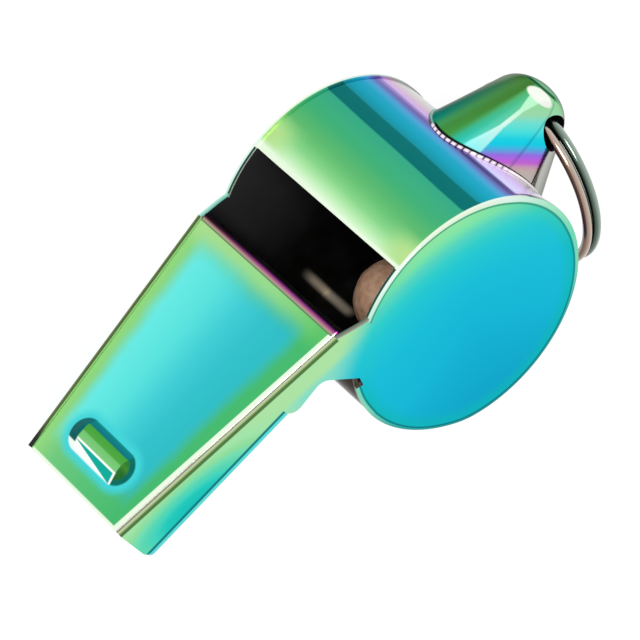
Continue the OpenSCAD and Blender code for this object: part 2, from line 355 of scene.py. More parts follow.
def ease(width, segments=3):
    """Rounds the selected edges."""
    bpy.ops.mesh.bevel(offset=width, segments=segments, profile=0.5, affect="EDGES", clamp_overlap=True)


def cut(place, normal, **sides):
    """Cuts the whole mesh along a plane."""
    bpy.ops.mesh.select_all(action="SELECT")
    bpy.ops.mesh.bisect(plane_co=place, plane_no=normal, **sides)


def modify(kind, **settings):
    """Adds a modifier to the active piece and applies it."""
    bpy.ops.object.mode_set(mode="OBJECT")
    bpy.ops.object.modifier_add(type=kind)
    modifier = bpy.context.object.modifiers[-1]
    for name, value in settings.items():
        setattr(modifier, name, value)
    bpy.ops.object.modifier_apply(modifier=modifier.name)


def edit():
    """Opens the active piece in edit mode."""
    bpy.ops.object.mode_set(mode="EDIT")


def carve(piece, cutter, operation):
    """Cuts or joins piece with a cutter object, which is then deleted."""
    only(piece)
    modify("BOOLEAN", object=cutter, operation=operation, solver="EXACT")
    bpy.data.objects.remove(cutter)


def rod(radius, depth, place, vertices):
    """A round cutter along Z."""
    only()
    bpy.ops.mesh.primitive_cylinder_add(vertices=vertices, radius=radius, depth=depth, location=place)
    return bpy.context.object


def paint_faces(materials, choose):
    """Gives the piece its materials, and each face the number that choose returns."""
    bpy.ops.object.mode_set(mode="OBJECT")
    mesh = bpy.context.object.data
    for material in materials:
        mesh.materials.append(material)
    for face in mesh.polygons:
        face.material_index = choose(face.center, face.normal)


def hand_over(piece, body, node, smooth=32):
    """Scales the piece from millimetres to metres, smooths it and ties it to the frame."""
    only(piece)
    piece.scale = (MM, MM, MM)
    bpy.ops.object.transform_apply(location=True, rotation=True, scale=True)
    bpy.ops.object.shade_smooth_by_angle(angle=math.radians(smooth))
    modify("WEIGHTED_NORMAL", keep_sharp=True, weight=80)
    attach(piece, body)
    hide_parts(node)


# Materials

def bands(low, high, *stops):
    """Ramp stops over the range from low to high, from places in that range and their colours."""
    return [((place - low) / (high - low), linear(colour)) for place, colour in stops]


def grey(level):
    """A grey ramp colour, for ramps that give a number."""
    return (level, level, level, 1.0)


def add(tree, kind, inputs=None, stops=None, out=None, **settings):
    """Adds a node, such as Math ADD, with its inputs' values or links and a ramp's stops.

    It returns the output named out, or else the first one in use.
    """
    kind, _, mode = kind.partition(" ")
    node = tree.nodes.new("ShaderNode" + kind)
    if mode:
        setattr(node, MODES[kind], mode)
    for name, value in settings.items():
        setattr(node, name, value)
    for name, value in (inputs or {}).items():
        if isinstance(value, bpy.types.NodeSocket):
            tree.links.new(value, node.inputs[name])
        else:
            node.inputs[name].default_value = linear(value)
    if stops:
        ramp = node.color_ramp.elements
        ramp.remove(ramp[1])
        ramp[0].position = stops[0][0]
        ramp[0].color = stops[0][1]
        for place, colour in stops[1:]:
            ramp.new(place).color = colour
    used = [socket for socket in node.outputs if socket.enabled]
    return node.outputs[out] if out else used[0] if used else None


def start_material(name):
    """A new material, its nodes, and the place on the object in millimetres, whole and as x, y and z."""
    material = bpy.data.materials.new(name)
    material.use_nodes = True
    tree = material.node_tree
    tree.nodes.clear()
    coords = add(tree, "TexCoord", out="Object")
    place = add(tree, "VectorMath SCALE", {0: coords, "Scale": 1 / MM})
    axes = add(tree, "SeparateXYZ", {0: place}).node.outputs
    return material, tree, place, axes


def drum_radius(tree, place):
    """Distance from the drum's axis."""
    flat = add(tree, "VectorMath MULTIPLY", {0: place, 1: (1, 1, 0)})
    return add(tree, "VectorMath LENGTH", {0: flat})


def drum_rim(tree, x, y):
    """One on the drum's rim, and zero beside the window and on the mouthpiece."""
    s = whistle_shape()
    neck_y = -4.0
    behind = add(tree, "Math LESS_THAN", {0: x, 1: s.corner_x + NEAR})
    below = add(tree, "Math GREATER_THAN", {0: y, 1: neck_y})
    return add(tree, "Math MAXIMUM", {0: behind, 1: below})


def across_whistle(tree, x, z, half_at, **settings):
    """Offset from the whistle's middle, and half its width at x."""
    s = whistle_shape()
    off = add(tree, "Math SUBTRACT", {0: z, 1: s.mid})
    back_half = half_at(s, s.bend_x)
    front_half = half_at(s, s.mouth_x)
    half = add(tree, "MapRange", {"Value": x, "From Min": s.bend_x, "From Max": s.mouth_x,
                                  "To Min": back_half, "To Max": front_half}, **settings)
    return off, half


def side_room(tree, x, z, half_at):
    """Distance to the nearer side of the whistle."""
    off, half = across_whistle(tree, x, z, half_at)
    from_mid = add(tree, "Math ABSOLUTE", {0: off})
    return add(tree, "Math SUBTRACT", {0: half, 1: from_mid})


def polished(tree, place, colour, layers=(), rough=(0.13, 0.2), metallic=1.0, scratch=0.05,
             glance=FILM_GLANCE):
    """Polished sheet: layers laid on a colour by their masks, cloudy gloss 3 mm across, fine hairlines."""
    for mask, tint_over in layers:
        colour = add(tree, "Mix RGBA", {MIX_FACTOR: mask, MIX_A: colour, MIX_B: tint_over})
    cloud = add(tree, "TexNoise", {"Vector": place, "Scale": 0.35, "Detail": 3.0})
    gloss = add(tree, "MapRange", {"Value": cloud, "From Min": 0.3, "From Max": 0.7,
                                   "To Min": rough[0], "To Max": rough[1]})
    # Hairlines are about 0.01 mm in life, and are drawn 0.15 mm wide so that they show
    lines = add(tree, "Mapping", {"Vector": place, "Scale": (0.25, 6.0, 6.0)})
    hair = add(tree, "TexNoise", {"Vector": lines, "Scale": 1.0, "Detail": 2.0})
    bump = add(tree, "Bump", {"Height": hair, "Strength": scratch, "Distance": 0.02 * MM})
    shader = add(tree, "BsdfPrincipled", {"Base Color": colour, "Metallic": metallic, "Roughness": gloss,
                                          "Specular Tint": glance, "Normal": bump})
    add(tree, "OutputMaterial", {"Surface": shader})


def plate_film():
    """Rainbow oxide film on polished stamped steel: cyan discs, green towards the window and the mouth."""
    paints = bpy.context.scene.whistle_colours
    s = whistle_shape()
    material, tree, place, (x, y, z) = start_material("oxide_film_on_stamped_steel")
    radius = drum_radius(tree, place)
    window_turn = math.radians(110)
    window_way = (math.cos(window_turn), -math.sin(window_turn), 0)
    towards = add(tree, "VectorMath DOT_PRODUCT", {0: place, 1: window_way})
    by_radius = 0.35
    round_share = add(tree, "Math MULTIPLY", {0: radius, 1: by_radius / s.drum_r})
    blend = add(tree, "Math MULTIPLY_ADD", {0: towards, 1: (1 - by_radius) / s.drum_r, 2: round_share})
    lifted = add(tree, "MapRange", {"Value": blend, "From Min": -0.25, "From Max": 1.0})
    disc = add(tree, "ValToRGB", {0: lifted}, bands(
        0, 1, (0.0, "#06a8cc"), (0.2, paints.plate_blue), (0.44, "#14bfda"), (0.64, "#1fc8d4"),
        (0.73, "#30d0cc"), (0.81, "#54d6c1"), (0.87, "#70e3af"), (0.93, paints.plate_green),
        (1.0, "#9ae8a8")))
    # The mouthpiece's side has its bluest patch low down near the mouth
    patch_x, patch_y = 25.5, -7.0
    patch_long, patch_high = 8, 3.2
    patch = add(tree, "VectorMath MULTIPLY_ADD", {0: place, 1: (1 / patch_long, 1 / patch_high, 0),
                                                  2: (-patch_x / patch_long, -patch_y / patch_high, 0)})
    far = add(tree, "VectorMath LENGTH", {0: patch})
    far_share = add(tree, "Math DIVIDE", {0: far, 1: 1.5})
    mouth = add(tree, "ValToRGB", {0: far_share}, bands(
        0, 1, (0.0, "#12c0ba"), (0.23, "#20cbbc"), (0.33, "#42d6c0"), (0.43, "#5cd9b2"), (0.52, "#74e0b4"),
        (0.6, "#8fdf9e"), (0.73, "#a2e6aa"), (0.93, "#aee5a6")))
    neck_low = add(tree, "MapRange SMOOTHSTEP", {"Value": y, "From Min": -8.8, "From Max": -7.7})
    neck_near = add(tree, "MapRange SMOOTHSTEP", {"Value": x, "From Min": 17.0, "From Max": 13.0})
    at_neck = add(tree, "Math MULTIPLY", {0: neck_low, 1: neck_near})
    mouth = add(tree, "Mix RGBA", {MIX_FACTOR: at_neck, MIX_A: mouth, MIX_B: "#86dfc8"})
    # The disc's film runs out along a slanted line across the neck
    slant = add(tree, "Math MULTIPLY_ADD", {0: y, 1: -1.2, 2: x})
    to_mouth = add(tree, "MapRange SMOOTHSTEP", {"Value": slant, "From Min": 15.6, "From Max": 20.6})
    side = add(tree, "Math DIVIDE", {0: towards, 1: radius})
    side_share = add(tree, "MapRange", {"Value": side, "From Min": -1, "From Max": 1})
    rim_near = add(tree, "MapRange SMOOTHSTEP",
                   {"Value": radius, "From Min": 9.0, "From Max": 10.6, "To Max": 0.8})
    off_neck = add(tree, "MapRange SMOOTHSTEP", {"Value": slant, "From Min": 16.0, "From Max": 12.0})
    to_rim = add(tree, "Math MULTIPLY", {0: rim_near, 1: off_neck})
    rim_tint = add(tree, "ValToRGB", {0: side_share}, bands(
        0, 1, (0.0, "#06b6bc"), (0.5, "#0cbeb8"), (0.8, "#40d0b0"), (1.0, "#8fe8a2")))
    # The rim: a painted dark reflection line where the roll begins, then a roll with a pale painted
    # highlight on the window's side
    on_rim = drum_rim(tree, x, y)
    degrees, strip = strip_bands(tree, place, (x, y, z))
    whole_turn = add(tree, "MapRange", {"Value": degrees, "From Min": 0, "From Max": 360})
    lag_share = add(tree, "ValToRGB", {0: whole_turn}, bands(
        0, 360, (5, grey(0.5)), (40, WHITE), (88, WHITE), (122, grey(0.6)), (145, grey(0.2)),
        (190, grey(0.25)), (215, grey(0.6)), (246, WHITE), (330, WHITE), (355, grey(0.6))))
    roll_lag = -0.36
    lag = add(tree, "Math MULTIPLY", {0: lag_share, 1: roll_lag})
    rim_r = add(tree, "Math ADD", {0: radius, 1: lag})
    rim_from = 9.8
    rim = add(tree, "MapRange", {"Value": rim_r, "From Min": rim_from, "From Max": s.drum_r})
    line = add(tree, "ValToRGB", {0: rim}, bands(
        rim_from, s.drum_r, (10.26, BLACK), (10.34, WHITE), (10.42, WHITE), (10.5, BLACK)))
    roll = add(tree, "ValToRGB", {0: rim}, bands(rim_from, s.drum_r, (10.45, BLACK), (10.55, WHITE)))
    line_tint = add(tree, "ValToRGB", {0: side_share}, bands(
        0, 1, (0.0, "#04727a"), (0.5, "#0f8c88"), (0.95, "#4a9f80")))
    roll_tint = add(tree, "ValToRGB", {0: side_share}, bands(
        0, 1, (0.0, "#2d8988"), (0.2, "#3fa8a0"), (0.38, "#84d8b8"), (0.55, "#74dab6"), (0.76, "#a8e6c4"),
        (0.92, "#e1f4ec"), (1.0, paints.rubbed)))
    on_line = add(tree, "Math MULTIPLY", {0: line, 1: on_rim})
    on_roll = add(tree, "Math MULTIPLY", {0: roll, 1: on_rim})
    # Below the roll the rim's wall carries the strip's colours, and it is dark beside the window
    depth = side_room(tree, x, z, outer_half)
    under_roll = add(tree, "MapRange", {"Value": depth, "From Min": 0.2, "From Max": 0.27})
    window_mid = 62.0
    window_reach = math.degrees(s.edge_turn) - window_mid
    at_window = add(tree, "Math COMPARE", {0: degrees, 1: window_mid, 2: window_reach})
    wall_tint = add(tree, "Mix RGBA", {MIX_FACTOR: at_window, MIX_A: strip, MIX_B: "#1d4a44"})
    on_wall = add(tree, "Math MULTIPLY", {0: under_roll, 1: on_rim})
    # A dark olive line runs along the mouthpiece's upper edge
    near_top = add(tree, "MapRange", {"Value": y, "From Min": 0.3 - s.top_h, "From Max": 0.2 - s.top_h})
    past_window = add(tree, "Math GREATER_THAN", {0: x, 1: s.window_x})
    top_line = add(tree, "Math MULTIPLY", {0: near_top, 1: past_window})
    # A dark line of solder shows along the floor plate
    floor_y = add(tree, "MapRange",
                  {"Value": x, "From Min": s.floor_x, "From Max": s.mouth_x,
                   "To Min": -s.tongue_h, "To Max": -floor_line(s, s.mouth_x)}, clamp=False)
    above = add(tree, "Math SUBTRACT", {0: floor_y, 1: y})
    low = add(tree, "MapRange", {"Value": above, "From Min": 0.34, "From Max": 0.2})
    past_neck = add(tree, "Math GREATER_THAN", {0: x, 1: s.floor_x})
    soldered = add(tree, "Math MULTIPLY", {0: low, 1: past_neck})
    on_floor = add(tree, "MapRange", {"Value": above, "From Min": 0.0, "From Max": -0.06})
    solder = add(tree, "Mix RGBA", {MIX_FACTOR: on_floor, MIX_A: "#0a7c80", MIX_B: "#5fdcd8"})
    polished(tree, place, disc, [
        (to_rim, rim_tint), (to_mouth, mouth), (on_line, line_tint), (on_roll, roll_tint),
        (on_wall, wall_tint), (top_line, "#527a45"), (soldered, solder)])
    return material


def edge_film():
    """Sheared edge of the coated sheet: pale olive on the right, green on the left and dark at the mouth."""
    s = whistle_shape()
    material, tree, place, (x, y, z) = start_material("oxide_film_on_sheared_edge")
    below_face = side_room(tree, x, z, outer_half)
    depth = add(tree, "MapRange", {"Value": below_face, "From Min": 0, "From Max": s.sheet})
    on_left = add(tree, "Math LESS_THAN", {0: z, 1: s.mid})
    right_top = add(tree, "ValToRGB", {0: depth}, bands(
        0, 1, (0.0, "#4a6e3e"), (0.2, "#557c46"), (0.34, "#8fa468"), (0.6, "#b4c498"), (0.9, "#bccaa8"),
        (1.0, "#7a8070")))
    left_long = add(tree, "ValToRGB", {0: depth}, bands(
        0, 1, (0.0, "#7a8468"), (0.4, "#56683c"), (0.66, "#43562a"), (0.76, "#86b868"), (1.0, "#8fcf7c")))
    at_corner = add(tree, "MapRange SMOOTHSTEP",
                    {"Value": x, "From Min": s.mouth_x - 3.0, "From Max": s.mouth_x - 0.6})
    left_top = add(tree, "Mix RGBA", {MIX_FACTOR: at_corner, MIX_A: left_long, MIX_B: "#2c302c"})
    # The front ends carry a pale painted highlight on the right; the lower edges are dark with solder
    low = add(tree, "Math GREATER_THAN", {0: y, 1: 0.3 - s.top_h})
    front = add(tree, "Math GREATER_THAN", {0: x, 1: s.mouth_x - 0.06})
    front_tint = add(tree, "Mix RGBA", {MIX_FACTOR: on_left, MIX_A: "#cdeccf", MIX_B: "#3a3f3a"})
    low_tint = add(tree, "Mix RGBA", {MIX_FACTOR: front, MIX_A: "#0b6f76", MIX_B: front_tint})
    # Beside the window the edge is teal on the left and grey on the right; the left edge's pale outer line
    # is a painted highlight
    right_slope = add(tree, "ValToRGB", {0: depth}, bands(
        0, 1, (0.0, "#b4c0ac"), (0.25, "#8a9282"), (0.9, "#5d6a60")))
    left_slope = add(tree, "ValToRGB", {0: depth}, bands(
        0, 1, (0.0, "#d0f0e4"), (0.5, "#94d0c0"), (1.0, "#5cac9e")))
    slope = add(tree, "Mix RGBA", {MIX_FACTOR: on_left, MIX_A: right_slope, MIX_B: left_slope})
    beside = add(tree, "Math LESS_THAN", {0: x, 1: s.window_x})
    above = add(tree, "Math LESS_THAN", {0: y, 1: -9.0})
    on_slope = add(tree, "Math MULTIPLY", {0: beside, 1: above})
    polished(tree, place, right_top, [(on_left, left_top), (low, low_tint), (on_slope, slope)])
    return material


def floor_film():
    """Rainbow oxide film under the mouthpiece: blue at the neck, then cyan, green at the mouth and sides."""
    s = whistle_shape()
    material, tree, place, (x, y, z) = start_material("oxide_film_on_floor_plate")
    along = add(tree, "MapRange", {"Value": x, "From Min": s.floor_x, "From Max": s.mouth_x})
    lengthwise = add(tree, "ValToRGB", {0: along}, bands(
        0, 1, (0.0, "#1795b8"), (0.3, "#1bb6d0"), (0.65, "#3fd2d4"), (0.88, "#6edcb4"), (1.0, "#9ce09a")))
    room = side_room(tree, x, z, outer_half)
    at_side = add(tree, "MapRange SMOOTHSTEP", {"Value": room, "From Min": 2.8, "From Max": 0.2})
    polished(tree, place, lengthwise, [(at_side, "#62c88a")])
    return material


def top_film():
    """Rainbow oxide film on the pressed top: cyan field, green fringe along its edges, pale painted
    highlight on the roll.
    """
    paints = bpy.context.scene.whistle_colours
    s = whistle_shape()
    material, tree, place, (x, y, z) = start_material("oxide_film_on_pressed_top")
    off, half = across_whistle(tree, x, z, inner_half, clamp=False)
    across = add(tree, "Math DIVIDE", {0: off, 1: half})
    share = add(tree, "MapRange", {"Value": across, "From Min": -1, "From Max": 1})
    # The field grows lighter towards the left side, a painted reflection
    field = add(tree, "ValToRGB", {0: share}, bands(
        0, 1, (0.1, "#69e5df"), (0.32, "#58dcd8"), (0.5, paints.top_cyan), (0.65, "#33bcc6"),
        (0.8, "#2fb8c0")))
    front_fringe = add(tree, "ValToRGB", {0: share}, bands(
        0, 1, (0.02, "#8fd27c"), (0.2, "#6cc47c"), (0.5, "#58bd74"), (0.9, "#45b56c")))
    back_fringe = add(tree, "ValToRGB", {0: share}, bands(
        0, 1, (0.05, "#a6d98c"), (0.6, "#8fd488"), (0.95, "#5cbf66")))
    to_lip = add(tree, "MapRange SMOOTHSTEP",
                 {"Value": x, "From Min": s.window_x + 2.6, "From Max": s.window_x + 0.4})
    fringe = add(tree, "Mix RGBA",
                 {MIX_FACTOR: to_lip, MIX_A: front_fringe, MIX_B: back_fringe})
    # Distance from the field's middle, as a share of the way to its nearest edge
    field_x, field_reach = 19.2, 12.0
    shifted = add(tree, "Math ADD", {0: across, 1: 0.06})
    wide = add(tree, "Math ABSOLUTE", {0: shifted})
    along = add(tree, "MapRange",
                {"Value": x, "From Min": field_x, "From Max": field_x + field_reach}, clamp=False)
    long = add(tree, "Math ABSOLUTE", {0: along})
    edge = add(tree, "Math SMOOTH_MAX", {0: wide, 1: long, 2: 0.15})
    cloud = add(tree, "TexNoise", {"Vector": place, "Scale": 0.25, "Detail": 1.0})
    wander = add(tree, "Math MULTIPLY_ADD", {0: cloud, 1: 0.1, 2: edge})
    fringed = add(tree, "MapRange SMOOTHSTEP", {"Value": wander, "From Min": 0.7, "From Max": 0.93})
    # The roll along the right edge and the front edge carry a white painted highlight; the groove beside the
    # roll is grey
    room = add(tree, "Math SUBTRACT", {0: half, 1: off})
    roll_w = add(tree, "MapRange", {"Value": x, "From Min": s.window_x, "From Max": s.mouth_x,
                                    "To Min": 0.54, "To Max": 0.72})
    past_roll = add(tree, "Math SUBTRACT", {0: room, 1: roll_w})
    on_roll = add(tree, "MapRange", {"Value": past_roll, "From Min": 0.05, "From Max": -0.04})
    at_front = add(tree, "MapRange", {"Value": x, "From Min": s.mouth_x - 0.3, "From Max": s.mouth_x - 0.18})
    rubbed = add(tree, "Math MAXIMUM", {0: on_roll, 1: at_front})
    in_groove = add(tree, "MapRange", {"Value": room, "From Min": 0.28, "From Max": 0.2})
    # The turned lip at the window goes through olive and plum to black as it turns down, a painted dark
    # reflection
    lip = add(tree, "MapRange", {"Value": x, "From Min": s.top_back_x, "From Max": s.window_x + 0.2})
    right_lip = add(tree, "ValToRGB", {0: lip}, bands(
        0, 1, (0.0, "#0c040c"), (0.14, "#2a0c2a"), (0.28, "#6a2a68"), (0.4, "#9a4a8c"), (0.54, "#b0687c"),
        (0.68, "#a8988c"), (0.82, "#8d937c"), (0.92, "#4f5a44")))
    left_lip = add(tree, "ValToRGB", {0: lip}, bands(
        0, 1, (0.0, "#0c040c"), (0.28, "#22101a"), (0.44, "#5c3440"), (0.56, "#a07a70"), (0.7, "#aa9e8c"),
        (0.84, "#858a70"), (0.92, "#59644a")))
    to_left = add(tree, "MapRange SMOOTHSTEP", {"Value": share, "From Min": 0.6, "From Max": 0.0})
    lip_tint = add(tree, "Mix RGBA", {MIX_FACTOR: to_left, MIX_A: right_lip, MIX_B: left_lip})
    on_lip = add(tree, "MapRange", {"Value": lip, "From Min": 1.0, "From Max": 0.9})
    # The film is cyan all round the bite stop's foot
    reach = s.stop_l / 2
    stop_x = add(tree, "Math SUBTRACT", {0: x, 1: s.mouth_x - s.stop_back})
    stop_z = add(tree, "Math SUBTRACT", {0: z, 1: s.mid + s.stop_side})
    end_far = add(tree, "Math ABSOLUTE", {0: stop_z})
    past_core = add(tree, "Math SUBTRACT", {0: end_far, 1: s.stop_w / 2 - reach})
    past_end = add(tree, "Math MAXIMUM", {0: past_core, 1: 0.0})
    around = add(tree, "CombineXYZ", {0: stop_x, 1: past_end})
    stop_far = add(tree, "VectorMath LENGTH", {0: around})
    halo = add(tree, "MapRange SMOOTHSTEP", {"Value": stop_far, "From Min": reach + 1.0, "From Max": reach})
    # The bite stop is painted with light and shade: painted shade on its back wall and its ends, two greens
    # on its ridge, a painted highlight on its front wall with a teal wedge
    run = add(tree, "MapRange", {"Value": stop_x, "From Min": -reach, "From Max": reach})
    ridge = add(tree, "ValToRGB", {0: run}, bands(
        -reach, reach, (-1.5, "#0e8488"), (-1.0, "#0b747c"), (-0.94, "#479f3a"), (-0.32, "#4fa544"),
        (-0.25, "#70bf6c"), (0.36, "#7cc67c"), (0.44, "#f6fcf4"), (1.5, "#f2fbf6")))
    wedge_w = add(tree, "MapRange", {"Value": stop_z, "From Min": -2.5, "From Max": 2.4,
                                     "To Min": 0.0, "To Max": 0.85})
    past_wedge = add(tree, "Math SUBTRACT", {0: stop_x, 1: wedge_w})
    under = add(tree, "MapRange", {"Value": past_wedge, "From Min": 0.63, "From Max": 0.57})
    past_ridge = add(tree, "MapRange", {"Value": stop_x, "From Min": 0.54, "From Max": 0.6})
    before_end = add(tree, "MapRange", {"Value": stop_z, "From Min": 2.6, "From Max": 2.5})
    in_rows = add(tree, "Math MULTIPLY", {0: under, 1: past_ridge})
    in_wedge = add(tree, "Math MULTIPLY", {0: in_rows, 1: before_end})
    right_end = add(tree, "ValToRGB", {0: run}, bands(
        -reach, reach, (-1.4, "#0f5f5c"), (-0.9, "#2f7a3c"), (-0.4, "#3f842c"), (0.1, "#2b6e30"),
        (1.5, "#235f34")))
    on_rim = add(tree, "MapRange", {"Value": stop_far, "From Min": reach - 0.5, "From Max": reach - 0.36})
    right_end = add(tree, "Mix RGBA", {MIX_FACTOR: on_rim, MIX_A: right_end, MIX_B: "#0e6a60"})
    at_right = add(tree, "MapRange", {"Value": stop_z, "From Min": 2.7, "From Max": 2.8})
    left_end = add(tree, "ValToRGB", {0: run}, bands(
        -reach, reach, (-1.4, "#0c6d70"), (0.82, "#085a58"), (0.94, "#eefaf4")))
    at_left = add(tree, "MapRange", {"Value": stop_z, "From Min": -2.4, "From Max": -2.55})
    stop_light_and_shade = ridge
    for mask, wall in ((in_wedge, "#12a898"), (at_right, right_end), (at_left, left_end)):
        stop_light_and_shade = add(tree, "Mix RGBA", {MIX_FACTOR: mask, MIX_A: stop_light_and_shade, MIX_B: wall})
    raised = add(tree, "MapRange", {"Value": y, "From Min": -s.top_h - 0.01, "From Max": -s.top_h - 0.06})
    polished(tree, place, field, [
        (fringed, fringe), (rubbed, paints.rubbed), (in_groove, "#968c88"), (on_lip, lip_tint),
        (halo, "#42d0d4"), (raised, stop_light_and_shade)])
    return material


def strip_bands(tree, place, axes):
    """Degrees round the drum, and the strip's colour there: bands from pale green through teal to grey, with
    painted highlights and shade.
    """
    paints = bpy.context.scene.whistle_colours
    s = whistle_shape()
    x, y, z = axes
    back_x = add(tree, "Math MULTIPLY", {0: x, 1: -1.0})
    turn = add(tree, "Math ARCTAN2", {0: y, 1: back_x})
    degrees = add(tree, "MapRange", {"Value": turn, "From Min": -math.pi, "From Max": math.pi,
                                     "To Min": 0, "To Max": 360}, clamp=False)
    # The bands lie a little askew: further round at the left plate than at the right one
    askew = add(tree, "MapRange", {"Value": z, "From Min": 0, "From Max": s.body_w,
                                   "To Min": -2.1, "To Max": 0.9}, clamp=False)
    cloud = add(tree, "TexNoise", {"Vector": place, "Scale": 0.12, "Detail": 1.0})
    wander = add(tree, "Math MULTIPLY_ADD", {0: cloud, 1: 1.2, 2: askew})
    where = add(tree, "Math ADD", {0: degrees, 1: wander})
    near = add(tree, "MapRange", {"Value": where, "From Min": 80, "From Max": 180})
    # The palest greens by the blowing edge are a painted highlight, and the dark teal band is a painted
    # reflection
    near_bands = add(tree, "ValToRGB", {0: near}, bands(
        80, 180, (84.6, "#e2f6dc"), (86.5, "#ccf0c4"), (89.5, "#ace4a6"), (93.5, "#84d088"),
        (98, "#6ac076"), (102, paints.wrap_green), (106, "#4eb170"), (110, "#41ad75"), (114, "#3dac7b"),
        (121.6, "#36a785"), (122.2, "#0a6f6c"), (129.8, "#087070"), (130.4, "#1691a0"), (135, "#12a2bb"),
        (139, "#1ca7c8"), (141, "#3aa9d2"), (143, "#52a5da"), (145.5, "#6a80c8"), (148, paints.wrap_violet),
        (150, "#7c5cb0"), (151.5, "#b694d6"), (154.5, "#c094c0"), (158.5, "#bca6b2"), (162, "#b4b4b2")))
    # The lilac band is paler on the right of the lug, a painted highlight
    lilac = add(tree, "ValToRGB", {0: near}, bands(
        80, 180, (150.4, BLACK), (151.8, WHITE), (160, WHITE), (172, BLACK)))
    past_lug = add(tree, "MapRange SMOOTHSTEP", {"Value": z, "From Min": 10.5, "From Max": 14.0})
    pale = add(tree, "Math MULTIPLY", {0: lilac, 1: past_lug})
    # Next to the plates the pale bands turn yellower as a painted highlight, and the blowing edge itself
    # carries a painted highlight
    from_mid = add(tree, "Math SUBTRACT", {0: z, 1: s.mid})
    wide = add(tree, "Math ABSOLUTE", {0: from_mid})
    at_ends = add(tree, "MapRange SMOOTHSTEP", {"Value": wide, "From Min": 5.5, "From Max": 9.3})
    at_edge = add(tree, "ValToRGB", {0: near}, bands(
        80, 180, (84.5, BLACK), (87.5, WHITE), (93, WHITE), (101, BLACK)))
    yellow = add(tree, "Math MULTIPLY", {0: at_ends, 1: at_edge})
    edge_turn = math.degrees(s.edge_turn)
    blowing_edge_highlight = add(tree, "MapRange",
               {"Value": degrees, "From Min": edge_turn + 2.2, "From Max": edge_turn + 1.3})
    # On the far side the film runs back through the same bands, wider and paler
    rear = add(tree, "MapRange", {"Value": where, "From Min": 180, "From Max": 360})
    rear_bands = add(tree, "ValToRGB", {0: rear}, bands(
        180, 360, (180, "#b4b4b2"), (205, "#b098bc"), (220, "#7a62b4"), (234, "#3f9fd0"), (256, "#18a5b8"),
        (279, "#36a785"), (310, "#5bb56e"), (330, "#8f8c6a"), (345, "#4e4742")))
    on_rear = add(tree, "Math GREATER_THAN", {0: where, 1: 180.0})
    # The strip's last part, past the drum's front line, is painted dark brown-grey as shade where it is
    # folded into the neck
    neck_shade = add(tree, "Math LESS_THAN", {0: degrees, 1: 45.0})
    film = near_bands
    layers = [(pale, "#dac8f0"), (yellow, "#b4dc8c"), (blowing_edge_highlight, paints.rubbed), (on_rear, rear_bands),
              (neck_shade, "#4e4742")]
    for mask, tint_over in layers:
        film = add(tree, "Mix RGBA", {MIX_FACTOR: mask, MIX_A: film, MIX_B: tint_over})
    return degrees, film


def wrap_film():
    """Rainbow oxide film on rolled strip: mirror-bright bands, satin at its cut ends and round the lug."""
    material, tree, place, (x, y, z) = start_material("oxide_film_on_rolled_strip")
    degrees, film = strip_bands(tree, place, (x, y, z))
    around = add(tree, "MapRange", {"Value": degrees, "From Min": 0, "From Max": 360})
    # The film is satin round the lug's foot, under the painted lilac highlight, and along the strip's cut
    # ends
    off_lug = add(tree, "ValToRGB", {0: around}, bands(
        0, 360, (148, WHITE), (150.5, BLACK), (205, BLACK), (215, WHITE)))
    room = side_room(tree, x, z, inner_half)
    off_end = add(tree, "MapRange", {"Value": room, "From Min": 0.02, "From Max": 0.06})
    bright = add(tree, "Math MULTIPLY", {0: off_lug, 1: off_end})
    sheen = add(tree, "ValToRGB", {0: around}, bands(
        0, 360, (45, FOLD_GLANCE), (50, FILM_GLANCE), (325, FILM_GLANCE), (345, FOLD_GLANCE)))
    polished(tree, place, film, metallic=bright, glance=sheen)
    return material


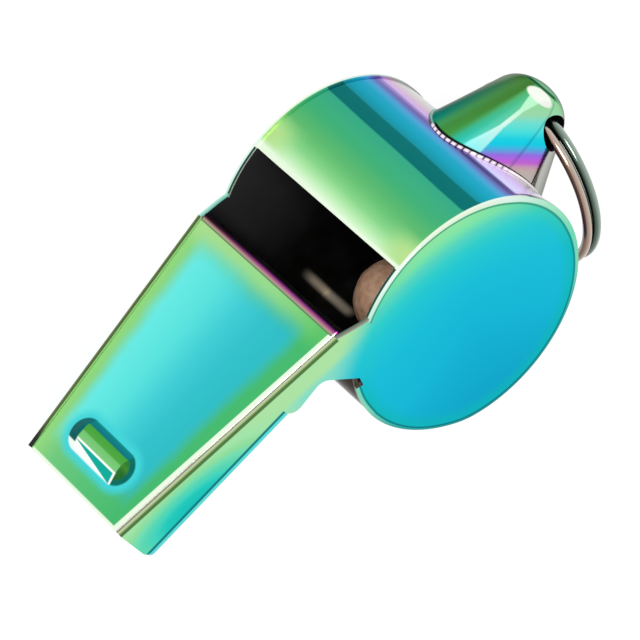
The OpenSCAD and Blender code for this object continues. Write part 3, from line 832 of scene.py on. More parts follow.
def lug_film():
    """Rainbow oxide film on folded sheet: green crown, painted highlight on the ridge, cyan to magenta bands
    on the flanks.
    """
    s = whistle_shape()
    material, tree, place, (x, y, z) = start_material("oxide_film_on_folded_sheet")
    # Angle round the lug from its crown, which is squashed and lifted towards the tip
    tip = add(tree, "MapRange", {"Value": x, "From Min": -10.0, "From Max": -17.0})
    squash = add(tree, "MapRange", {"Value": tip, "To Min": 1.08, "To Max": 0.62})
    droop = add(tree, "MapRange", {"Value": tip, "To Min": s.foot_low / 2, "To Max": 0.0})
    off = add(tree, "Math SUBTRACT", {0: z, 1: s.mid})
    sideways = add(tree, "Math MULTIPLY", {0: off, 1: squash})
    upright = add(tree, "Math SUBTRACT", {0: droop, 1: y})
    turn = add(tree, "Math ARCTAN2", {0: sideways, 1: upright})
    degrees = add(tree, "Math DEGREES", {0: turn})
    around = add(tree, "MapRange", {"Value": degrees, "From Min": -180, "From Max": 180})
    foot_crown = add(tree, "ValToRGB", {0: around}, bands(
        -180, 180, (-120, "#c4c8c0"), (-60, "#a4c6b8"), (-42, "#7fb0a2"), (-35, "#2f8c81"),
        (-28, "#228d80"), (-20, "#2c8f74"), (-12, "#459858"), (-5, "#438a40"), (2, "#42923f"),
        (6, "#40a060"), (8, "#35b088"), (14, "#2cc0aa"), (19, "#50cfc0")))
    tip_crown = add(tree, "ValToRGB", {0: around}, bands(
        -180, 180, (-120, "#c4c8c0"), (-60, "#c0d4c0"), (-40, "#8a9f81"), (-28, "#4c7548"),
        (-20, "#4c7c40"), (-12, "#4a8240"), (2, "#41782f"), (8, "#58ac68"), (14, "#50b878"),
        (19, "#60be80")))
    crown = add(tree, "Mix RGBA", {MIX_FACTOR: tip, MIX_A: foot_crown, MIX_B: tip_crown})
    # The flanks' bands are film colour with painted reflections in them, laid out along one slant
    band_way = (0.742, 0.408, 0.532)
    slant = add(tree, "VectorMath DOT_PRODUCT", {0: place, 1: band_way})
    level = add(tree, "MapRange", {"Value": slant, "From Min": -6.5, "From Max": 0.5})
    flank = add(tree, "ValToRGB", {0: level}, bands(
        0, 1, (0.0, "#98d8a0"), (0.1, "#9ad8ac"), (0.186, "#72e0d0"), (0.3, "#48dedc"), (0.37, "#22d2e0"),
        (0.44, "#14cbe6"), (0.5, "#50aae0"), (0.557, "#9070e0"), (0.6, "#b064e0"), (0.65, "#c064d0"),
        (0.7, "#c49ab0"), (0.743, "#c0aca8"), (0.843, "#b8b4ac"), (0.93, "#c6c8c2")))
    on_flank = add(tree, "MapRange", {"Value": degrees, "From Min": 24, "From Max": 26})
    # A fine crease runs from the eye to the foot, and the lower leaf behind the seam is bare grey
    on_crease = add(tree, "ValToRGB", {0: around}, bands(
        -180, 180, (55.6, BLACK), (56.5, "#b0b0b0"), (57.5, "#b0b0b0"), (58.4, BLACK)))
    on_leaf = add(tree, "MapRange", {"Value": degrees, "From Min": 86, "From Max": 90})
    # The ridge between crown and flank carries a pale painted highlight, wide at the foot and narrow towards
    # the tip
    ridge_half = add(tree, "ValToRGB", {0: tip}, bands(
        0, 1, (0.05, grey(0.65)), (0.42, grey(0.22)), (0.72, grey(0.26)), (0.92, grey(0.9))))
    ridge_w = add(tree, "Math MULTIPLY", {0: ridge_half, 1: 10.0})
    from_ridge = add(tree, "Math SUBTRACT", {0: degrees, 1: 25.0})
    ridge_far = add(tree, "Math ABSOLUTE", {0: from_ridge})
    past_ridge = add(tree, "Math SUBTRACT", {0: ridge_far, 1: ridge_w})
    on_ridge = add(tree, "MapRange", {"Value": past_ridge, "From Min": 0.8, "From Max": -0.8})
    ridge_tint = add(tree, "ValToRGB", {0: tip}, bands(
        0, 1, (0.0, "#90f4f4"), (0.5, "#d8f6ea"), (0.75, "#b8f2c8")))
    # A painted highlight, an oval, lies across the ridge near the tip
    spot_turn, spot_wide = 28, 25
    spot_x, spot_long = -16.9, 0.55
    spot = add(tree, "CombineXYZ", {0: degrees, 1: x})
    spot_off = add(tree, "VectorMath MULTIPLY_ADD", {0: spot, 1: (1 / spot_wide, 1 / spot_long, 0),
                                                     2: (-spot_turn / spot_wide, -spot_x / spot_long, 0)})
    spot_far = add(tree, "VectorMath LENGTH", {0: spot_off})
    in_spot = add(tree, "MapRange", {"Value": spot_far, "From Min": 1.08, "From Max": 0.92})
    # The blunt end has one colour, a dark line follows its turn, and a line of painted shade follows the
    # foot on the drum
    blunt = add(tree, "MapRange SMOOTHSTEP", {"Value": x, "From Min": -17.3, "From Max": -17.75})
    end = add(tree, "MapRange", {"Value": x, "From Min": -17, "From Max": -18.1})
    end_line = add(tree, "ValToRGB", {0: end}, bands(
        -17, -18.1, (-17.38, BLACK), (-17.5, WHITE), (-17.62, WHITE), (-17.74, BLACK)))
    over_crown = add(tree, "ValToRGB", {0: around}, bands(
        -180, 180, (-45, BLACK), (-20, WHITE), (55, WHITE), (75, BLACK)))
    on_turn = add(tree, "Math MULTIPLY", {0: end_line, 1: over_crown})
    radius = drum_radius(tree, place)
    foot_near = add(tree, "MapRange", {"Value": radius, "From Min": 11.22, "From Max": 11.16})
    not_left = add(tree, "MapRange", {"Value": degrees, "From Min": -20, "From Max": -14})
    foot_shade = add(tree, "Math MULTIPLY", {0: foot_near, 1: not_left})
    polished(tree, place, crown, [
        (on_flank, flank), (on_crease, "#1c4a72"), (on_leaf, "#c4c8c0"), (on_ridge, ridge_tint),
        (in_spot, "#f0f4ea"), (blunt, "#8cc8a0"), (on_turn, "#2a6040"),
        (foot_shade, "#161c18")], glance=FOLD_GLANCE)
    return material


def dull_inside():
    """Unpolished inner side of the sheets: painted shade with cloudy marks 2 mm apart, and one painted
    highlight streak.
    """
    paints = bpy.context.scene.whistle_colours
    s = whistle_shape()
    material, tree, place, (x, y, z) = start_material("unpolished_sheet_inside")
    cloud = add(tree, "TexNoise", {"Vector": place, "Scale": 0.5, "Detail": 4.0})
    # The inside is painted dark as shade, with cloudy marks
    inside_shade = add(tree, "ValToRGB", {0: cloud}, bands(0, 1, (0.35, "#0d0b0a"), (0.7, paints.inside)))
    # The left plate's wall catches a little light, and the plates have film above the top tray's edges
    by_plate = add(tree, "MapRange", {"Value": z, "From Min": 0.7, "From Max": 0.5})
    to_window = add(tree, "MapRange SMOOTHSTEP", {"Value": y, "From Min": 3.0, "From Max": -6.0})
    lit = add(tree, "Math MULTIPLY", {0: by_plate, 1: to_window})
    in_groove = add(tree, "MapRange", {"Value": y, "From Min": 0.6 - s.top_h, "From Max": 0.5 - s.top_h})
    past_window = add(tree, "Math GREATER_THAN", {0: x, 1: s.window_x})
    groove = add(tree, "Math MULTIPLY", {0: in_groove, 1: past_window})
    # Where the plates stand out past the strip, they have the strip's film
    radius = drum_radius(tree, place)
    half_proud = s.plate_proud / 2
    proud = add(tree, "Math COMPARE", {0: radius, 1: s.drum_r - half_proud, 2: half_proud + 0.03})
    on_proud = add(tree, "Math MULTIPLY", {0: proud, 1: drum_rim(tree, x, y)})
    strip = strip_bands(tree, place, (x, y, z))[1]
    # A painted highlight streak lies on the drum's wall beside the left plate
    streak_x = 6.0
    from_streak = add(tree, "Math SUBTRACT", {0: x, 1: streak_x})
    streak_far = add(tree, "Math ABSOLUTE", {0: from_streak})
    across = add(tree, "MapRange SMOOTHSTEP", {"Value": streak_far, "From Min": 0.6, "From Max": 0.05})
    up = add(tree, "MapRange SMOOTHSTEP", {"Value": y, "From Min": 4.0, "From Max": 6.5})
    along = add(tree, "MapRange SMOOTHSTEP", {"Value": z, "From Min": 4.4, "From Max": 3.2})
    in_rows = add(tree, "Math MULTIPLY", {0: across, 1: up})
    on_streak = add(tree, "Math MULTIPLY", {0: in_rows, 1: along})
    layers = [(lit, "#3a3b3e"), (groove, "#c0ecac"), (on_proud, strip), (on_streak, "#fff0d8")]
    polished(tree, place, inside_shade, layers, rough=(0.4, 0.55), metallic=0.6, scratch=0.1)
    return material


def ring_steel():
    """Nickelled spring-steel wire: painted bright and dark reflection streaks along the wire, warm on the
    turn by the drum.
    """
    paints = bpy.context.scene.whistle_colours
    s = whistle_shape()
    material, tree, place = start_material("nickelled_spring_wire")[:3]
    from_middle = add(tree, "VectorMath SUBTRACT", {0: place, 1: RING_MIDDLE})
    axial = add(tree, "VectorMath DOT_PRODUCT", {0: from_middle, 1: RING_AXIS})
    along_axis = add(tree, "VectorMath PROJECT", {0: from_middle, 1: RING_AXIS})
    radial = add(tree, "VectorMath DISTANCE", {0: from_middle, 1: along_axis})
    outward = add(tree, "Math SUBTRACT", {0: radial, 1: s.ring_r})
    far_side = add(tree, "Math ABSOLUTE", {0: axial})
    turn_side = add(tree, "Math SIGN", {0: axial})
    past_turn = add(tree, "Math SUBTRACT", {0: far_side, 1: s.turn_pitch / 2})
    sideways = add(tree, "Math MULTIPLY", {0: past_turn, 1: turn_side})
    section = add(tree, "Math ARCTAN2", {0: sideways, 1: outward})
    # Angle round the wire, from the line of the brightest painted highlight, folded so that both ways round
    # look alike
    brightest = math.radians(112)
    folded = add(tree, "MapRange",
                 {"Value": section, "From Min": brightest, "From Max": brightest - math.pi}, clamp=False)
    share = add(tree, "Math PINGPONG", {0: folded, 1: 1.0})
    inner_turn = add(tree, "ValToRGB", {0: share}, bands(
        0, 1, (0.0, "#b0a8a4"), (0.15, "#5a4a42"), (0.3, "#7a6252"), (0.5, "#b09486"), (0.7, "#c4bcae"),
        (0.9, "#8f958a"), (1.0, "#3a423a")))
    outer_turn = add(tree, "ValToRGB", {0: share}, bands(
        0, 1, (0.0, "#232b24"), (0.25, "#36423a"), (0.45, "#59695d"), (0.65, "#8fa196"), (0.85, "#a5b0a5"),
        (1.0, paints.steel)))
    on_inner = add(tree, "Math GREATER_THAN", {0: axial, 1: 0.0})
    polished(tree, place, outer_turn, [(on_inner, inner_turn)],
             rough=(0.12, 0.2), scratch=0.1, glance=STEEL_GLANCE)
    return material


def turned_cork():
    """Turned cork: matt, brown granules 0.5 to 1 mm across with slightly darker pores between them."""
    paints = bpy.context.scene.whistle_colours
    material, tree, place = start_material("turned_cork")[:3]
    grains = add(tree, "TexVoronoi", {"Vector": place, "Scale": 1.4})
    pores = add(tree, "TexNoise", {"Vector": place, "Scale": 2.2, "Detail": 4.0})
    mixed = add(tree, "Math MULTIPLY_ADD", {0: grains, 1: 0.35, 2: pores})
    colour = add(tree, "ValToRGB", {0: mixed}, bands(
        0, 1, (0.4, "#dca682"), (0.62, paints.cork), (0.85, "#f6caaa")))
    bump = add(tree, "Bump", {"Height": mixed, "Strength": 0.3, "Distance": 0.05 * MM})
    shader = add(tree, "BsdfPrincipled", {"Base Color": colour, "Roughness": 0.7, "Normal": bump})
    add(tree, "OutputMaterial", {"Surface": shader})
    return material


def flange_film():
    """Rubbed flange of the lug: pale steel with dark dashes from the crimping roll, green on the left."""
    s = whistle_shape()
    material, tree, place, (x, y, z) = start_material("crimped_flange_steel")
    off = add(tree, "Math SUBTRACT", {0: z, 1: s.mid})
    upright = add(tree, "Math SUBTRACT", {0: s.foot_low / 2, 1: y})
    turn = add(tree, "Math ARCTAN2", {0: off, 1: upright})
    degrees = add(tree, "Math DEGREES", {0: turn})
    around = add(tree, "MapRange", {"Value": degrees, "From Min": -180, "From Max": 180})
    # One dash in five degrees is about 0.5 mm
    step = add(tree, "Math MULTIPLY", {0: degrees, 1: 0.2})
    wave = add(tree, "Math PINGPONG", {0: step, 1: 0.5})
    dashes = add(tree, "ValToRGB", {0: wave}, bands(
        0, 1, (0.08, "#4a3c4c"), (0.2, "#ccbac6"), (0.5, "#e6d8e0")))
    radius = drum_radius(tree, place)
    flange_r = s.wrap_r + s.flange_t
    on_top = add(tree, "MapRange",
                 {"Value": radius, "From Min": flange_r - 0.06, "From Max": flange_r - 0.02})
    left_end = add(tree, "Mix RGBA", {MIX_FACTOR: on_top, MIX_A: "#1a2422", MIX_B: "#2f8c81"})
    right_end = add(tree, "ValToRGB", {0: around}, bands(-180, 180, (60, "#ecdfe6"), (120, "#c8c8c4")))
    to_right = add(tree, "MapRange", {"Value": degrees, "From Min": -16, "From Max": -12})
    dashed = add(tree, "ValToRGB", {0: around}, bands(
        -180, 180, (-14, BLACK), (-9, WHITE), (48, WHITE), (58, BLACK)))
    polished(tree, place, left_end, [(to_right, right_end), (dashed, dashes)], metallic=0.0)
    return material


MADE = {}


def made(build):
    """The material that build makes, made once."""
    if build not in MADE:
        MADE[build] = build()
    return MADE[build]


# Pieces

class WHISTLE_OT_side_plates(bpy.types.Operator):
    """Models the right side plate and its mirrored copy on the left"""

    bl_idname = "whistle.side_plates"
    bl_label = "Side plates"

    def execute(self, context):
        s = whistle_shape()

        def flat(x, h):
            """A place on the sheet before it is bent, longer past the bend so that it ends at x."""
            return (x + max(0, x - s.bend_x) * (1 / math.cos(s.taper) - 1), -h, 0)

        def polar(radius, turn):
            return radius * math.cos(turn), radius * math.sin(turn)

        root = polar(s.drum_r - s.notch_depth, s.notch_turn)
        shoulder = (root[0] - s.notch_lean, root[1] + s.notch_rise)
        neck = (s.drum_r + s.neck_lead, s.top_h - s.neck_h)
        lean = math.atan2(neck[1] - shoulder[1], neck[0] - shoulder[0])
        # The tab behind the floor plate is rounded; its lower edge climbs to a fillet at the neck
        rise = Vector((-math.cos(s.tab_slope), math.sin(s.tab_slope)))
        below = Vector((-rise.y, rise.x))
        tab = Vector((s.floor_x - s.tab_r, s.tongue_h)) + s.tab_r * below
        slope_end = Vector(shoulder) + s.drum_d * Vector((math.cos(lean), math.sin(lean)))
        apex = Vector(intersect_line_line_2d(tab, tab + s.drum_d * rise, Vector(shoulder), slope_end))
        fillet = apex - s.neck_fillet * math.tan((lean + s.tab_slope) / 2) * rise
        corner_turn = math.acos(s.corner_x / s.drum_r)
        right = start_point("right_plate_sheet", flat(*polar(s.drum_r, s.notch_turn)))
        arc((0, 0, 0), 2 * math.pi - corner_turn + s.notch_turn, steps=150)
        line_to(flat(s.window_x, s.top_h))
        line_to(flat(s.mouth_x, s.top_h))
        line_to(flat(s.mouth_x, floor_line(s, s.mouth_x) + s.front_r))
        arc(flat(s.mouth_x - s.front_r, floor_line(s, s.mouth_x) + s.front_r), math.pi / 2, steps=6)
        line_to(flat(s.floor_x, s.tongue_h))
        arc(flat(s.floor_x - s.tab_r, s.tongue_h), math.pi / 2 + s.tab_slope, steps=8)
        line_to(flat(*fillet))
        arc(flat(*(fillet + s.neck_fillet * below)), -lean - s.tab_slope, steps=8)
        line_to(flat(*shoulder))
        line_to(flat(*root))
        line_to(flat(*polar(s.drum_r, s.notch_turn)))
        close_outline((0, 0, 1))
        # The bend is rolled in steps, from its front line back
        bends = 6
        reach = s.bend_r * math.tan(s.taper / 2)
        lines = [s.bend_x - reach + 2 * reach * (i + 0.5) / bends for i in range(bends)]
        for x in lines:
            cut((x, 0, 0), (1, 0, 0))
        for x in reversed(lines):
            select("VERT", lambda v: v.co.x > x + TINY)
            bpy.ops.transform.rotate(value=-s.taper / bends, orient_axis="Y", center_override=(x, 0, 0))
        bpy.ops.mesh.select_all(action="SELECT")
        bpy.ops.transform.translate(value=(0, 0, s.body_w))
        modify("SOLIDIFY", thickness=s.sheet, offset=-1)
        edit()

        def outer_edge(edge):
            """Between the plate's outer face and its edge wall."""
            ups = [face.normal.z for face in edge.link_faces]
            steep = sorted(abs(up) for up in ups)
            return len(ups) == 2 and steep[0] < 0.5 < steep[1] and max(ups) > 0.5

        def on_rim(edge):
            where = middle(edge)
            return outer_edge(edge) and abs(math.hypot(where.x, where.y) - s.drum_r) < NEAR

        select("EDGE", on_rim)
        ease(s.rim_roll, segments=6)
        select("EDGE", lambda e: outer_edge(e) and not on_rim(e) and middle(e).x > s.corner_x - 0.5)
        ease(s.edge_ease)

        def film_of(centre, normal):
            """Film outside, dull inside, sheared edges round the mouthpiece, strip's film in the notch."""
            if normal.z < -0.5:
                return 1
            if normal.z < 0.6 and centre.x > s.corner_x - 2 * NEAR:
                if -centre.y > shoulder[1]:
                    return 2
                if math.hypot(centre.x, centre.y) < s.drum_r - 2 * NEAR:
                    return 3
            return 0

        paint_faces([made(plate_film), made(dull_inside), made(edge_film), made(wrap_film)], film_of)
        only(right)
        bpy.ops.object.duplicate()
        left = context.object
        left.name = "left_plate_sheet"
        left.data.name = left.name
        edit()
        bpy.ops.mesh.select_all(action="SELECT")
        bpy.ops.transform.resize(value=(1, 1, -1), center_override=(0, 0, s.mid))
        bpy.ops.mesh.normals_make_consistent(inside=False)
        hand_over(left, "whistle", "left_side_plate")
        hand_over(right, "whistle", "right_side_plate")
        return {"FINISHED"}


class WHISTLE_OT_barrel_wrap(bpy.types.Operator):
    """Models the strip that is rolled round the drum and folded into the windway's tongue"""

    bl_idname = "whistle.barrel_wrap"
    bl_label = "Barrel wrap"

    def execute(self, context):
        s = whistle_shape()
        radius = s.wrap_mid_r
        start = (radius * math.cos(s.edge_turn), -radius * math.sin(s.edge_turn), 0)
        wrap = start_point("wrap_strip", start)
        arc((0, 0, 0), -(2 * math.pi - s.edge_turn + s.fold_turn), steps=160)
        arc((s.fold_x, -s.fold_h, 0), math.pi / 2 + s.fold_turn, steps=14)
        tongue = s.tongue_h + s.sheet / 2
        lap_x = s.floor_x + s.tongue_lap
        line_to((s.floor_x, -tongue, 0))
        line_to((lap_x, -tongue + s.slope * s.tongue_lap, 0))
        bpy.ops.mesh.select_all(action="SELECT")
        bpy.ops.mesh.extrude_region_move(TRANSFORM_OT_translate={"value": (0, 0, s.body_w - 2 * s.sheet)})
        bpy.ops.mesh.select_all(action="SELECT")
        bpy.ops.transform.translate(value=(0, 0, s.sheet))
        for way in (1, -1):
            edge_z = s.mid + way * inner_half(s, s.bend_x)
            cut((s.bend_x, 0, edge_z), (math.sin(s.taper), 0, way * math.cos(s.taper)), clear_outer=True)
        turn_outward(hindmost, (-1, 0, 0))
        modify("SOLIDIFY", thickness=s.sheet, offset=0, use_even_offset=True)
        edit()

        def blowing_edge(edge):
            """The long outer corner of the strip's free end at the window."""
            where = middle(edge)
            turn = math.atan2(-where.y, where.x)
            long = abs(edge.verts[0].co.z - edge.verts[1].co.z) > s.mid
            return long and abs(turn - s.edge_turn) < 0.01 and math.hypot(where.x, where.y) > radius

        select("EDGE", blowing_edge)
        ease(s.edge_ease)

        def side_of(centre, normal):
            inward = centre.x * normal.x + centre.y * normal.y < -0.3 * math.hypot(centre.x, centre.y)
            folded = centre.x > s.top_back_x - s.sheet and -centre.y > s.fold_h - s.fold_r
            return 1 if inward or folded and normal.y < TINY else 0

        paint_faces([made(wrap_film), made(dull_inside)], side_of)
        hand_over(wrap, "whistle", "barrel_wrap")
        return {"FINISHED"}


class WHISTLE_OT_mouthpiece_floor(bpy.types.Operator):
    """Models the plate that closes the windway below"""

    bl_idname = "whistle.mouthpiece_floor"
    bl_label = "Mouthpiece floor"

    def execute(self, context):
        s = whistle_shape()

        def corner(x, side):
            return (x, -floor_line(s, x), s.mid + side * outer_half(s, x))

        floor = start_point("floor_strip", corner(s.floor_x, -1))
        line_to(corner(s.mouth_x, -1))
        line_to(corner(s.mouth_x, 1))
        line_to(corner(s.floor_x, 1))
        line_to(corner(s.floor_x, -1))
        close_outline((0, -1, 0))
        select("VERT", lambda v: v.co.x > s.mouth_x - TINY)
        bpy.ops.mesh.bevel(offset=s.front_r, segments=6, profile=0.5, affect="VERTICES")
        modify("SOLIDIFY", thickness=s.sheet, offset=-1)
        edit()
        select("EDGE", lambda e: len(e.link_faces) == 2 and e.calc_face_angle() > SHARP)
        ease(s.edge_ease / 2, segments=2)
        paint_faces([made(plate_film), made(dull_inside), made(floor_film)],
                    lambda centre, normal: 1 if normal.y < -0.5 else 2 if normal.y > 0.5 else 0)
        hand_over(floor, "whistle", "mouthpiece_floor")
        return {"FINISHED"}


class WHISTLE_OT_mouthpiece_top(bpy.types.Operator):
    """Models the pressed tray with its rolled edge, turned lip and bite stop"""

    bl_idname = "whistle.mouthpiece_top"
    bl_label = "Mouthpiece top"

    def execute(self, context):
        s = whistle_shape()

        def tray_half(x):
            return inner_half(s, x) - s.tray_gap

        def corner(x, side):
            return (x, -s.top_h, s.mid + side * tray_half(x))

        top = start_point("top_tray", corner(s.top_back_x, -1))
        for x, side in ((s.mouth_x, -1), (s.mouth_x, 1), (s.top_back_x, 1), (s.top_back_x, -1)):
            line_to(corner(x, side))
        close_outline((0, -1, 0))
        # Walls go down on three sides; the mouth's end stays open, and the lip is shallower
        wall = s.windway_h - s.wall_gap
        lip = s.windway_h - s.slit_h
        select("EDGE", lambda e: middle(e).x < s.mouth_x - TINY)
        bpy.ops.mesh.extrude_region_move(TRANSFORM_OT_translate={"value": (0, wall, 0)})
        cut((s.window_x + s.sheet, 0, 0), (1, 0, 0))
        select("VERT", lambda v: v.co.x < s.window_x and v.co.y > -s.top_h + lip)
        bpy.ops.transform.translate(value=(0, lip - wall, 0))
        # The field in front of the lip gives way to the bite stop, which is drawn up from its foot
        select("FACE", lambda f: f.normal.y < -0.9 and middle(f).x > s.window_x + s.sheet)
        bpy.ops.mesh.inset(thickness=2 * s.edge_roll)
        bpy.ops.mesh.delete(type="FACE")
        stop_x = s.mouth_x - s.stop_back
        stop_z = s.mid + s.stop_side
        halo = s.stop_l / 10
        stop_sides = 48
        bpy.ops.mesh.primitive_circle_add(
            vertices=stop_sides, radius=s.stop_l / 2 + halo, fill_type="NGON", rotation=(math.pi / 2, 0, 0),
            location=(stop_x, -s.top_h, stop_z))

        def in_stop(v):
            near = max(abs(v.co.x - stop_x), abs(v.co.z - stop_z)) < s.stop_l
            return near and v.co.y < -s.top_h + TINY

        for way in (1, -1):
            select("VERT", lambda v: in_stop(v) and way * (v.co.z - stop_z) > TINY)
            bpy.ops.transform.translate(value=(0, 0, way * (s.stop_w - s.stop_l) / 2))
        select("FACE", lambda f: len(f.verts) == stop_sides)
        bpy.ops.mesh.inset(thickness=halo)
        bpy.ops.mesh.extrude_region_move(TRANSFORM_OT_translate={"value": (-s.stop_lean, -s.stop_h, 0)})
        bpy.ops.transform.resize(
            value=(s.stop_flat / s.stop_l, 1, (s.stop_w - 2 * s.stop_run) / s.stop_w),
            center_override=(stop_x - s.stop_lean, -s.top_h - s.stop_h, stop_z))
        select("EDGE", lambda e: len(e.link_faces) == 1 and middle(e).y < -s.top_h + TINY
               and s.window_x + s.sheet + TINY < middle(e).x < s.mouth_x - TINY)
        bpy.ops.mesh.fill(use_beauty=True)
        turn_outward(lambda faces: max(faces, key=lambda face: face.calc_area()), (0, -1, 0))

        def stop_corner(edge):
            """An edge of the bite stop's foot or ridge."""
            where = middle(edge)
            level = abs(edge.verts[0].co.y - edge.verts[1].co.y) < TINY
            sharp = len(edge.link_faces) == 2 and edge.calc_face_angle() > 0.25
            inside = abs(where.x - stop_x) < s.stop_l and abs(where.z - stop_z) < s.stop_w
            return level and sharp and inside

        select("EDGE", stop_corner)
        ease(s.edge_ease)

        def long_edge(edge):
            where = middle(edge)
            high = where.y < -s.top_h + TINY
            at_side = abs(abs(where.z - s.mid) - tray_half(where.x)) < 0.02
            return high and at_side and len(edge.link_faces) == 2

        for way, roll in ((1, s.edge_roll), (-1, s.edge_ease)):
            select("EDGE", lambda e: long_edge(e) and way * (middle(e).z - s.mid) > 0)
            ease(roll, segments=6)

        def lip_edge(edge):
            """Between the turned lip and the tray."""
            ways = [face.normal.x for face in edge.link_faces]
            return len(ways) == 2 and min(ways) < -0.9 and max(ways) > -0.5

        select("EDGE", lip_edge)
        ease(s.lip_roll, segments=6)
        modify("SOLIDIFY", thickness=s.sheet, offset=-1, use_even_offset=True)
        edit()
        select("EDGE", lambda e: middle(e).x > s.mouth_x - NEAR and len(e.link_faces) == 2
               and e.calc_face_angle() > SHARP)
        ease(s.edge_ease / 2, segments=2)
        paint_faces([made(top_film), made(dull_inside)],
                    lambda centre, normal: 1 if normal.y > 0.3 else 0)
        hand_over(top, "whistle", "mouthpiece_top")
        return {"FINISHED"}


def hull_half(s, x, foot, tip):
    """Half size of the lug at x: a straight flank from its foot that runs on round the tip's ellipse."""
    foot_at = (-s.foot_x - s.eye_x) / s.tip_reach
    foot_high = foot / tip
    turn = math.atan2(foot_high, foot_at) + math.acos(1 / math.hypot(foot_at, foot_high))
    touch = (math.cos(turn), math.sin(turn))
    at = (x - s.eye_x) / s.tip_reach
    if at < touch[0]:
        return tip * math.sqrt(max(0, 1 - at * at))
    return tip * (foot_high + (touch[1] - foot_high) * (at - foot_at) / (touch[0] - foot_at))


class WHISTLE_OT_lanyard_lug(bpy.types.Operator):
    """Models the hollow hood with its eye, seams and flange"""

    bl_idname = "whistle.lanyard_lug"
    bl_label = "Lanyard lug"

    def execute(self, context):
        s = whistle_shape()
        across = (0, math.pi / 2, 0)

        def section(x):
            """Middle, half height and half width of the lug at x."""
            high = hull_half(s, x, s.foot_r, s.tip_h / 2)
            low = hull_half(s, x, s.foot_r + s.foot_low, s.tip_h / 2)
            return (low - high) / 2, (low + high) / 2, hull_half(s, x, s.foot_r, s.tip_w / 2)

        # The hood grows from inside the drum to the eye in even steps, and then round its end
        root_reach = 7.5
        start_x = s.eye_x + root_reach
        steps = 8
        end_degrees = range(10, 89, 6)
        straight = [start_x + (s.eye_x - start_x) * i / steps for i in range(1, steps + 1)]
        round_end = [s.eye_x - s.tip_reach * math.sin(math.radians(turn)) for turn in end_degrees]
        sag, tall, wide = section(start_x)
        lug = start_circle("lug_hood", vertices=72, radius=1, place=(start_x, sag, s.mid), rotation=across)
        bpy.ops.transform.resize(value=(1, tall, wide), center_override=(start_x, sag, s.mid))
        here = start_x
        for x in (*straight, *round_end):
            next_sag, next_tall, next_wide = section(x)
            bpy.ops.mesh.extrude_region_move(
                TRANSFORM_OT_translate={"value": (x - here, next_sag - sag, 0)})
            bpy.ops.transform.resize(value=(1, next_tall / tall, next_wide / wide),
                                     center_override=(x, next_sag, s.mid))
            here, sag, tall, wide = x, next_sag, next_tall, next_wide
        bpy.ops.mesh.merge(type="CENTER")
        turn_outward(hindmost, (-1, 0, 0))
        modify("SOLIDIFY", thickness=s.sheet, offset=-1, use_even_offset=True)
        # It is trimmed just clear of the strip, and its eye and seams are cut through
        strip_gap = 0.02
        drum = s.wrap_r + strip_gap
        carve(lug, rod(drum, 4 * s.body_w, (0, 0, s.mid), vertices=256), "DIFFERENCE")
        carve(lug, rod(s.eye_d / 2, 2 * s.body_w, (s.eye_x, 0, s.mid), vertices=64), "DIFFERENCE")
        seam_lap = 0.5
        seam_long = -s.eye_x - s.drum_r + seam_lap
        only()
        bpy.ops.mesh.primitive_cube_add(size=1, location=(s.eye_x + seam_long / 2, 0, s.mid),
                                        scale=(seam_long, s.seam_w, 2 * s.body_w))
        carve(lug, context.object, "DIFFERENCE")
        # The flange is an oval ring that is trimmed to the drum's curve
        flange_x = -s.drum_r - 1
        flange_y = s.foot_low / 2 + s.flange_low
        flange_z = s.mid + s.flange_w
        oval_y = s.foot_r + s.foot_low / 2 + s.flange_w
        oval_z = hull_half(s, -s.wrap_r, s.foot_r, s.tip_w / 2) + s.flange_w
        centre = (flange_x, flange_y, flange_z)
        flange = start_circle("lug_flange", vertices=96, radius=1, place=centre, rotation=across)
        bpy.ops.transform.resize(value=(1, oval_y, oval_z), center_override=centre)
        bpy.ops.mesh.extrude_region_move(TRANSFORM_OT_translate={"value": (0, -s.flange_low, 0)})
        bpy.ops.transform.resize(value=(1, (oval_y - s.flange_w) / oval_y, (oval_z - s.sheet) / oval_z),
                                 center_override=(flange_x, flange_y - s.flange_low, flange_z))
        bpy.ops.mesh.select_all(action="SELECT")
        bpy.ops.mesh.extrude_region_move(TRANSFORM_OT_translate={"value": (s.drum_r / 2, 0, 0)})
        bpy.ops.mesh.select_all(action="SELECT")
        bpy.ops.mesh.normals_make_consistent(inside=False)
        carve(flange, rod(s.wrap_r + s.flange_t, 4 * s.body_w, (0, 0, s.mid), vertices=256), "INTERSECT")
        carve(flange, rod(drum, 4 * s.body_w, (0, 0, s.mid), vertices=256), "DIFFERENCE")
        paint_faces([made(flange_film)], lambda centre, normal: 0)

        def side_of(centre, normal):
            """Film outside the middle of the sheet, dull within it."""
            sag, tall, wide = section(centre.x)
            high = (centre.y - sag) / (tall - s.sheet / 2)
            aside = (centre.z - s.mid) / (wide - s.sheet / 2)
            return 1 if math.hypot(high, aside) < 1 else 0

        only(lug)
        paint_faces([made(lug_film), made(dull_inside)], side_of)
        only(lug, flange)
        bpy.ops.object.join()
        hand_over(lug, "whistle", "lanyard_lug", smooth=40)
        return {"FINISHED"}


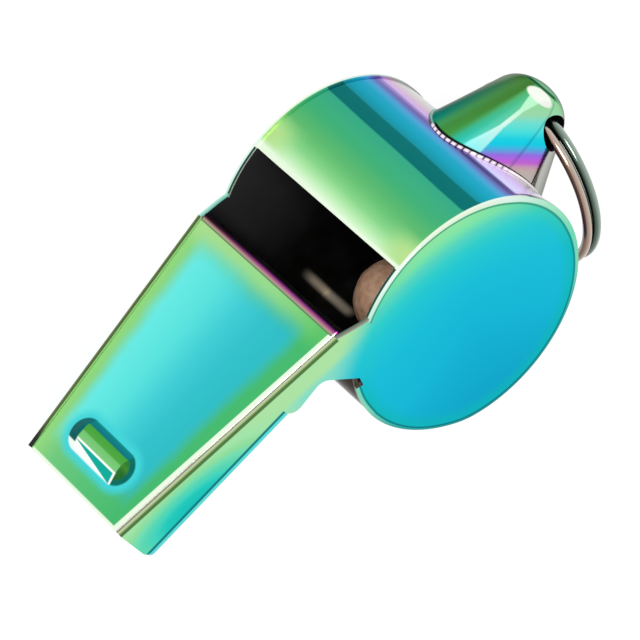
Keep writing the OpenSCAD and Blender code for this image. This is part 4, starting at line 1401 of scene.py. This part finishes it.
class WHISTLE_OT_split_ring(bpy.types.Operator):
    """Winds the two-turn split ring"""

    bl_idname = "whistle.split_ring"
    bl_label = "Split ring"

    def execute(self, context):
        s = whistle_shape()
        height = -s.turn_pitch / 2
        ring = start_circle("ring_wire", vertices=20, radius=s.wire / 2, place=(s.ring_r, 0, height),
                            rotation=(math.pi / 2, 0, 0))
        # One turn, a step over to the next, and the second turn
        turn = 2 * math.pi - s.cross_turn
        turn_steps = 128
        cross_steps = 12
        arc((0, 0, 0), turn, turn_steps)
        for i in range(1, cross_steps + 1):
            next_height = -s.turn_pitch / 2 * math.cos(math.pi * i / cross_steps)
            arc((0, 0, 0), s.cross_turn / cross_steps, steps=1)
            bpy.ops.transform.translate(value=(0, 0, next_height - height))
            height = next_height
        arc((0, 0, 0), turn, turn_steps)
        bpy.ops.mesh.select_all(action="SELECT")
        bpy.ops.mesh.remove_doubles(threshold=TINY)
        bpy.ops.mesh.fill_holes(sides=0)
        bpy.ops.mesh.select_all(action="SELECT")
        bpy.ops.mesh.normals_make_consistent(inside=False)
        select("FACE", lambda f: len(f.verts) > 4)
        bpy.ops.mesh.region_to_loop()
        ease(s.wire / 8)
        bpy.ops.object.mode_set(mode="OBJECT")
        ring.rotation_euler = (math.pi / 2, 0, s.ring_hang)
        ring.location = RING_MIDDLE
        bpy.ops.object.transform_apply(location=True, rotation=True, scale=True)
        paint_faces([made(ring_steel)], lambda centre, normal: 0)
        hand_over(ring, "ring", "split_ring", smooth=60)
        return {"FINISHED"}


class WHISTLE_OT_cork_pea(bpy.types.Operator):
    """Models the cork pea with its pits"""

    bl_idname = "whistle.cork_pea"
    bl_label = "Cork pea"

    def execute(self, context):
        s = whistle_shape()
        pit_size = 0.9
        pit_depth = 0.16
        only()
        centre = (PEA_LOW + PEA_HIGH) / 2 / MM
        bpy.ops.mesh.primitive_ico_sphere_add(subdivisions=5, radius=s.pea_d / 2, location=centre)
        pea = begin("pea_ball", "FACE")
        pits = bpy.data.textures.new("cork_pits", "VORONOI")
        pits.noise_scale = pit_size
        modify("DISPLACE", texture=pits, strength=pit_depth, mid_level=1.0, texture_coords="LOCAL")
        paint_faces([made(turned_cork)], lambda place, normal: 0)
        hand_over(pea, "pea", "cork_pea", smooth=80)
        return {"FINISHED"}


class WHISTLE_OT_stage(bpy.types.Operator):
    """Adds the floor, the soft light and the camera"""

    bl_idname = "whistle.stage"
    bl_label = "Stage"

    def execute(self, context):
        scene = context.scene
        paints = scene.whistle_colours
        floor_size = 6
        bpy.ops.mesh.primitive_plane_add(size=floor_size, location=(0, 0, 0))
        floor = context.object
        floor.name = "studio_floor"
        material, tree = start_material("backlit_studio_panel")[:2]
        shader = add(tree, "BsdfPrincipled", {"Base Color": paints.floor, "Roughness": 0.9,
                                              "Specular IOR Level": 0.1, "Emission Color": WHITE,
                                              "Emission Strength": 0.88})
        add(tree, "OutputMaterial", {"Surface": shader})
        floor.data.materials.append(material)
        world = bpy.data.worlds.new("studio_white")
        world.use_nodes = True
        sky = world.node_tree.nodes["Background"]
        sky.inputs["Color"].default_value = WHITE
        sky.inputs["Strength"].default_value = 1.0
        scene.world = world
        # A softbox behind the camera lights the drum's inside and the edges that face it
        softbox = Vector(SOFTBOX_PLACE) * MM
        aim = softbox.to_track_quat("Z", "Y").to_euler()
        bpy.ops.object.light_add(type="AREA", location=softbox, rotation=aim)
        light = context.object
        light.name = "softbox_front"
        light.data.size = 0.16
        light.data.energy = 1.1
        bpy.ops.object.camera_add(
            location=Vector(CAMERA_PLACE) * MM, rotation=[math.radians(turn) for turn in CAMERA_TURN])
        camera = context.object
        camera.data.sensor_width = CAMERA_SENSOR
        camera.data.lens = CAMERA_LENS
        scene.camera = camera
        scene.view_settings.view_transform = "Standard"
        return {"FINISHED"}


OPERATORS = (
    WHISTLE_OT_stage,
    WHISTLE_OT_side_plates,
    WHISTLE_OT_barrel_wrap,
    WHISTLE_OT_mouthpiece_floor,
    WHISTLE_OT_mouthpiece_top,
    WHISTLE_OT_lanyard_lug,
    WHISTLE_OT_split_ring,
    WHISTLE_OT_cork_pea,
)


class WHISTLE_PT_pieces(bpy.types.Panel):
    """Lists the whistle's pieces and its sizes and colours"""

    bl_idname = "WHISTLE_PT_pieces"
    bl_label = "Signal whistle"
    bl_space_type = "VIEW_3D"
    bl_region_type = "UI"
    bl_category = "Whistle"

    def draw(self, context):
        for operator in OPERATORS:
            self.layout.operator(operator.bl_idname)
        for group in (context.scene.whistle_sizes, context.scene.whistle_colours):
            column = self.layout.column()
            for name in group.__annotations__:
                column.prop(group, name)


CLASSES = (WhistleSizes, WhistleColours, *OPERATORS, WHISTLE_PT_pieces)


def register():
    for item in CLASSES:
        bpy.utils.register_class(item)
    bpy.types.Scene.whistle_sizes = bpy.props.PointerProperty(type=WhistleSizes)
    bpy.types.Scene.whistle_colours = bpy.props.PointerProperty(type=WhistleColours)


def unregister():
    del bpy.types.Scene.whistle_colours
    del bpy.types.Scene.whistle_sizes
    for item in reversed(CLASSES):
        bpy.utils.unregister_class(item)


def main():
    """Registers the add-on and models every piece."""
    register()
    bpy.ops.object.select_all(action="DESELECT")
    for operator in OPERATORS:
        group, name = operator.bl_idname.split(".")
        getattr(getattr(bpy.ops, group), name)()


if __name__ == "__main__":
    main()
